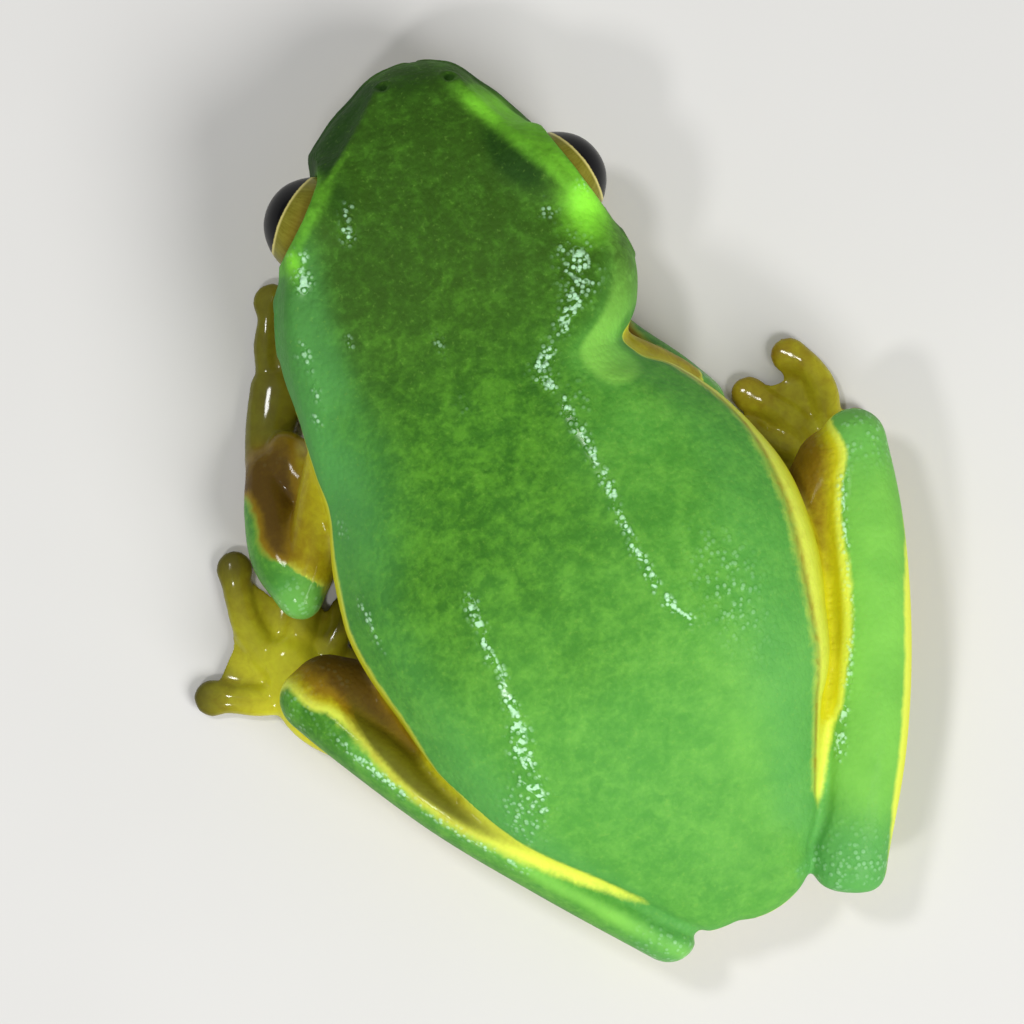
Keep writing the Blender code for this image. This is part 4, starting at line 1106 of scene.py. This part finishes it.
# Sizes of the skin's patterns in metres, and the height of its grains
BLOTCH, PATCH, DROP, CELL, SPECK = 0.0031, 0.0015, 0.0007, 0.00062, 0.00022
GRAIN, FINE_GRAIN, GRAIN_HEIGHT = 0.00028, 0.00016, 0.000045

paint, tree, shader, place = new_paint("frog_skin_paint")
mark = {
    name: add(tree, "ShaderNodeAttribute", attribute_name=name).outputs["Fac"] for name in marks
}
blotch = noise(tree, place, BLOTCH)
cells = noise(tree, place, CELL, 3.0, 0.62, 0.4)
specks = noise(tree, place, SPECK, 2.0, 0.6)
ragged = sum_of(tree, "SUBTRACT", cells, 0.5)

patches = noise(tree, place, PATCH, 3.0, 0.6, 0.8)
mottle = sum_of(tree, "MULTIPLY", cells, 0.4)
mottle = sum_of(tree, "MULTIPLY_ADD", specks, 0.18, mottle)
mottle = sum_of(tree, "MULTIPLY_ADD", patches, 0.42, mottle)
back = blended(tree, spread(tree, mottle, 0.38, 0.64), GREEN_DEEP, GREEN_OLIVE)
rump = blended(tree, spread(tree, mottle, 0.36, 0.74), GREEN_RUMP, GREEN_FRESH)
# Lighter green, partly its own colour and partly painted light, with faint blotches
fresh = sum_of(tree, "MULTIPLY_ADD", sum_of(tree, "SUBTRACT", blotch, 0.5), 0.55, mark["fresh"])
# Darker head: partly its own duller green, partly painted shade
head = spread(tree, mark["head"], 0.0, 1.0, 0.0, 0.95)
head = sum_of(tree, "MULTIPLY", head, spread(tree, mottle, 1.0, 0.35))
# Painted light on the right of the snout and behind the eyes, with the lighter stripe and rims
stripes_and_lit = sum_of(tree, "MULTIPLY_ADD", ragged, 0.35, mark["bright"])
green = blended(tree, spread(tree, fresh, 0.0, 1.1), back, rump)
green = layered(
    tree, green, (fresh, 1.0, 1.9, 1.0, GREEN_PALE_AND_LIT), (mark["bluish"], 0.0, 1.1, 0.9, GREEN_BLUISH),
)
# The dark layer is painted shade with some darker skin
green = layered(
    tree, blended(tree, head, green, GREEN_HEAD), (mark["dusky"], 0.1, 0.9, 0.88, GREEN_DARK_AND_SHADE),
    (stripes_and_lit, 0.0, 1.05, 0.95, GREEN_STRIPE_AND_LIT), (specks, 0.6, 0.76, 0.2, FLECK),
)

ochre = sum_of(tree, "MULTIPLY_ADD", ragged, 0.4, mark["ochre"])
hidden = layered(
    tree, YELLOW_PALE, (mark["yellow"], 0.1, 1.3, 1.0, YELLOW), (ochre, 0.15, 0.85, 1.0, OCHRE),
    (ochre, 0.8, 1.3, 0.85, MAROON), (mark["dusky"], 0.1, 0.9, 0.85, OLIVE_DARK_AND_SHADE),
    (mark["belly"], 0.1, 0.9, 1.0, BELLY),
)
edge = sum_of(tree, "MULTIPLY_ADD", ragged, 0.35, mark["yellow"])
bare = spread(tree, edge, -0.22, 0.26)
colour = blended(tree, bare, green, hidden)

# Wetness comes and goes over half a millimetre, so that the glitter breaks up into dots; a
# smooth film of it covers the hands and feet. Where it is wet, pale glints are painted on the
# grain tips as highlights, and in pools where it is wettest
grain = grains(tree, place, GRAIN)
drops = noise(tree, place, DROP, 1.0)
wetness_and_painted_glint = sum_of(tree, "MULTIPLY", mark["wet"], spread(tree, drops, 0.32, 0.55, 0.35, 1.0))
wetness_and_painted_glint = sum_of(tree, "MULTIPLY", wetness_and_painted_glint, spread(tree, bare, 0.0, 1.0, 1.0, 0.5))
# Painted highlight: pale glints on the tips of wet grains, and in pools where it is wettest
painted_glint_dots = spread(tree, wetness_and_painted_glint, 0.1, 0.9, 0.0, 0.9)
painted_glint_dots = sum_of(tree, "MULTIPLY", spread(tree, grain, 0.5, 0.9), painted_glint_dots)
painted_glint_beads = spread(tree, noise(tree, place, GRAIN, 1.0), 0.45, 0.6)
painted_glint_pools = sum_of(tree, "MULTIPLY", painted_glint_beads, spread(tree, wetness_and_painted_glint, 0.55, 0.92, 0.0, 0.85))
colour = blended(tree, sum_of(tree, "MAXIMUM", painted_glint_dots, painted_glint_pools), colour, PAINTED_GLINT)
fine = noise(tree, place, FINE_GRAIN, 1.0)
rough = spread(tree, wetness_and_painted_glint, 0.0, 0.7, 0.32, 1.0)
rough = sum_of(tree, "MULTIPLY_ADD", mark["film"], -0.27, rough)
raised = sum_of(tree, "MULTIPLY", sum_of(tree, "MULTIPLY_ADD", fine, 0.12, grain), rough)
bumps = add(tree, "ShaderNodeBump")
feed(tree, bumps, {"Strength": 1.0, "Distance": GRAIN_HEIGHT, "Height": raised})
feed(tree, shader, {
    "Base Color": colour,
    "Normal": bumps.outputs["Normal"],
    "Roughness": spread(tree, wetness_and_painted_glint, 0.0, 0.8, 0.6, 0.13),
    "IOR": 1.28,
    "Specular IOR Level": 0.32,
    "Coat Weight": spread(tree, mark["film"], 0.2, 1.0, 0.0, 0.75),
    "Coat IOR": 1.4,
    "Coat Roughness": 0.1,
    "Subsurface Weight": 0.12,
    "Subsurface Radius": (0.6, 1.0, 0.25),
    "Subsurface Scale": 0.0005,
})
skin.data.materials.clear()
skin.data.materials.append(paint)
skin.data.polygons.foreach_set("material_index", np.zeros(len(skin.data.polygons), np.int32))
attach(skin, "root")
limb_nodes = [*LIMBS, *HANDS_AND_FEET]
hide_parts("head", "torso", *limb_nodes)

# ---- Eyes ----------------------------------------------------------------------------------
# Large wet eyeballs, dark glassy jelly behind a clear bulging cornea. The iris is greenish gold
# with fine streaks and a pale ring round the pupil, which is a broad black oval that lies
# level. Both eyes sit deep in their lids.

# Half width and half height of the pupil as seen from the middle of the eye, and how far it is
# turned up from the eye's axis, in degrees; how far the cornea bulges; sides of an eyeball
PUPIL = (58, 46)
EYE_PITCH = {"left": 0.0, "right": 2.0}
CORNEA = 0.07
EYE_SIDES = 192

GOLD, GOLD_LIGHT = (0.18, 0.165, 0.014, 1), (0.25, 0.235, 0.028, 1)
GOLD_DARK, GOLD_OUTER = (0.12, 0.09, 0.006, 1), (0.16, 0.095, 0.008, 1)
PUPIL_RING, IRIS_EDGE = (0.75, 0.66, 0.22, 1), (0.03, 0.02, 0.006, 1)
PUPIL_BLACK = (0.003, 0.003, 0.004, 1)

# The ring mark is one at the edge of the pupil and grows outwards
iris, tree, shader, place = new_paint("frog_eye")
ring = add(tree, "ShaderNodeAttribute", attribute_name="iris_ring").outputs["Fac"]
turn = add(tree, "ShaderNodeAttribute", attribute_name="iris_turn").outputs["Vector"]
streaks = noise(tree, turn, 0.06, 3.0, 0.55, 0.2)
flecks = noise(tree, place, FINE_GRAIN, 3.0, 0.65)
gold = layered(
    tree, GOLD, (streaks, 0.25, 0.75, 1.0, GOLD_LIGHT), (flecks, 0.5, 0.75, 0.4, GOLD_DARK),
    (ring, 1.2, 1.6, 0.5, GOLD_OUTER), (ring, 1.1, 1.02, 0.9, PUPIL_RING),
    (ring, 1.7, 2.1, 0.9, IRIS_EDGE),
)
wavy = sum_of(tree, "MULTIPLY_ADD", sum_of(tree, "SUBTRACT", flecks, 0.5), 0.06, ring)
feed(tree, shader, {
    "Base Color": blended(tree, spread(tree, wavy, 0.98, 1.02), PUPIL_BLACK, gold),
    "Roughness": 0.35,
    "IOR": 1.12,
    "Coat Weight": 0.35,
    "Coat IOR": 1.33,
    "Coat Roughness": 0.04,
})

for label, (centre, axis) in eyes.items():
    # The radius grows by a low smooth hill over the middle of the front, as the cornea does
    polar = np.radians(np.concatenate([np.linspace(180.0, 95.0, 30), np.linspace(92.0, 0.0, 90)]))
    radius = EYE_RADIUS + CORNEA * np.exp(-((polar / math.radians(38.0)) ** 4))
    points, faces = around(centre, axis, arc(polar, radius), EYE_SIDES)
    look = unit(np.array([*axis[:2], 0.0]))
    pitch = math.asin(axis[2]) + math.radians(EYE_PITCH[label])
    look = look * math.cos(pitch) + np.array([0.0, 0.0, math.sin(pitch)])
    level = unit(np.cross(look, (0.0, 0.0, 1.0)))
    up = np.cross(level, look)
    way = unit(points - centre)
    polar = np.degrees(np.arccos(np.clip(way @ look, -1.0, 1.0)))
    flat = np.stack([way @ level, way @ up], axis=1)
    flat /= np.maximum(np.linalg.norm(flat, axis=1), 1e-6)[:, None]
    eye = mesh_of("eyeball_" + label, points / 1000 + SHIFT, faces)
    reach = polar * np.linalg.norm(flat / np.array(PUPIL), axis=1)
    put_mark(eye.data, "iris_ring", reach)
    put_mark(eye.data, "iris_turn", np.column_stack([flat, 0.12 * reach]))
    eye.data.polygons.foreach_set("use_smooth", np.ones(len(faces), bool))
    eye.data.materials.append(iris)
    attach(eye, "root")
    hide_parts("eye_" + label)

# ---- Floor, light and camera ---------------------------------------------------------------
# A pale matt studio floor under an even pale sky. A large soft lamp stands behind the frog's
# right hip, and two small ones over its left side make the wet skin glitter. The camera looks
# straight down.

FLOOR_TONES = (0.675, 0.665, 0.645, 1), (0.69, 0.68, 0.66, 1)

floor = mesh_of("studio_floor", [(-2, -2, 0), (2, -2, 0), (2, 2, 0), (-2, 2, 0)], [(0, 1, 2, 3)])
plain, tree, shader, place = new_paint("studio_floor_paint")
tone = spread(tree, noise(tree, place, 0.02, 3.0), 0.3, 0.7)
feed(tree, shader, {"Base Color": blended(tree, tone, *FLOOR_TONES), "Roughness": 0.8})
floor.data.materials.append(plain)

world = bpy.data.worlds.new("studio")
world.use_nodes = True
sky = world.node_tree.nodes["Background"]
feed(world.node_tree, sky, {"Color": (0.97, 0.99, 1.0, 1.0), "Strength": 0.27})
bpy.context.scene.world = world

# The camera is rolled so that the frog's snout lies at the top of the picture, a little left
IMAGE_TURN = math.radians(158.8)
image_right = np.array([math.cos(IMAGE_TURN), math.sin(IMAGE_TURN), 0.0])
image_up = np.array([-math.sin(IMAGE_TURN), math.cos(IMAGE_TURN), 0.0])


def lamp(name, across, along, height, size, power):
    """A round lamp at a place across and up the picture, turned to the middle of the frog."""
    light = bpy.data.lights.new(name, "AREA")
    light.shape = "DISK"
    light.size = size
    light.energy = power
    made = placed(name, light)
    made.location = image_right * across + image_up * along + np.array([0.0, 0.0, height])
    made.rotation_euler = (-made.location).to_track_quat("-Z", "Y").to_euler()


lamp("soft_lamp", 0.19, -0.17, 0.23, 0.19, 0.96)
lamp("front_glitter_lamp", -0.096, 0.077, 0.253, 0.042, 0.19)
lamp("rear_glitter_lamp", -0.105, -0.14, 0.225, 0.042, 0.19)

camera = bpy.data.cameras.new("camera")
camera.lens = 227.6
camera.clip_end = 5.0
view = placed("camera", camera)
view.location = (0.000135, -0.000423, 0.3)
view.rotation_euler = (0.0, 0.0, IMAGE_TURN)
bpy.context.scene.camera = view
bpy.context.scene.view_settings.view_transform = "Standard"
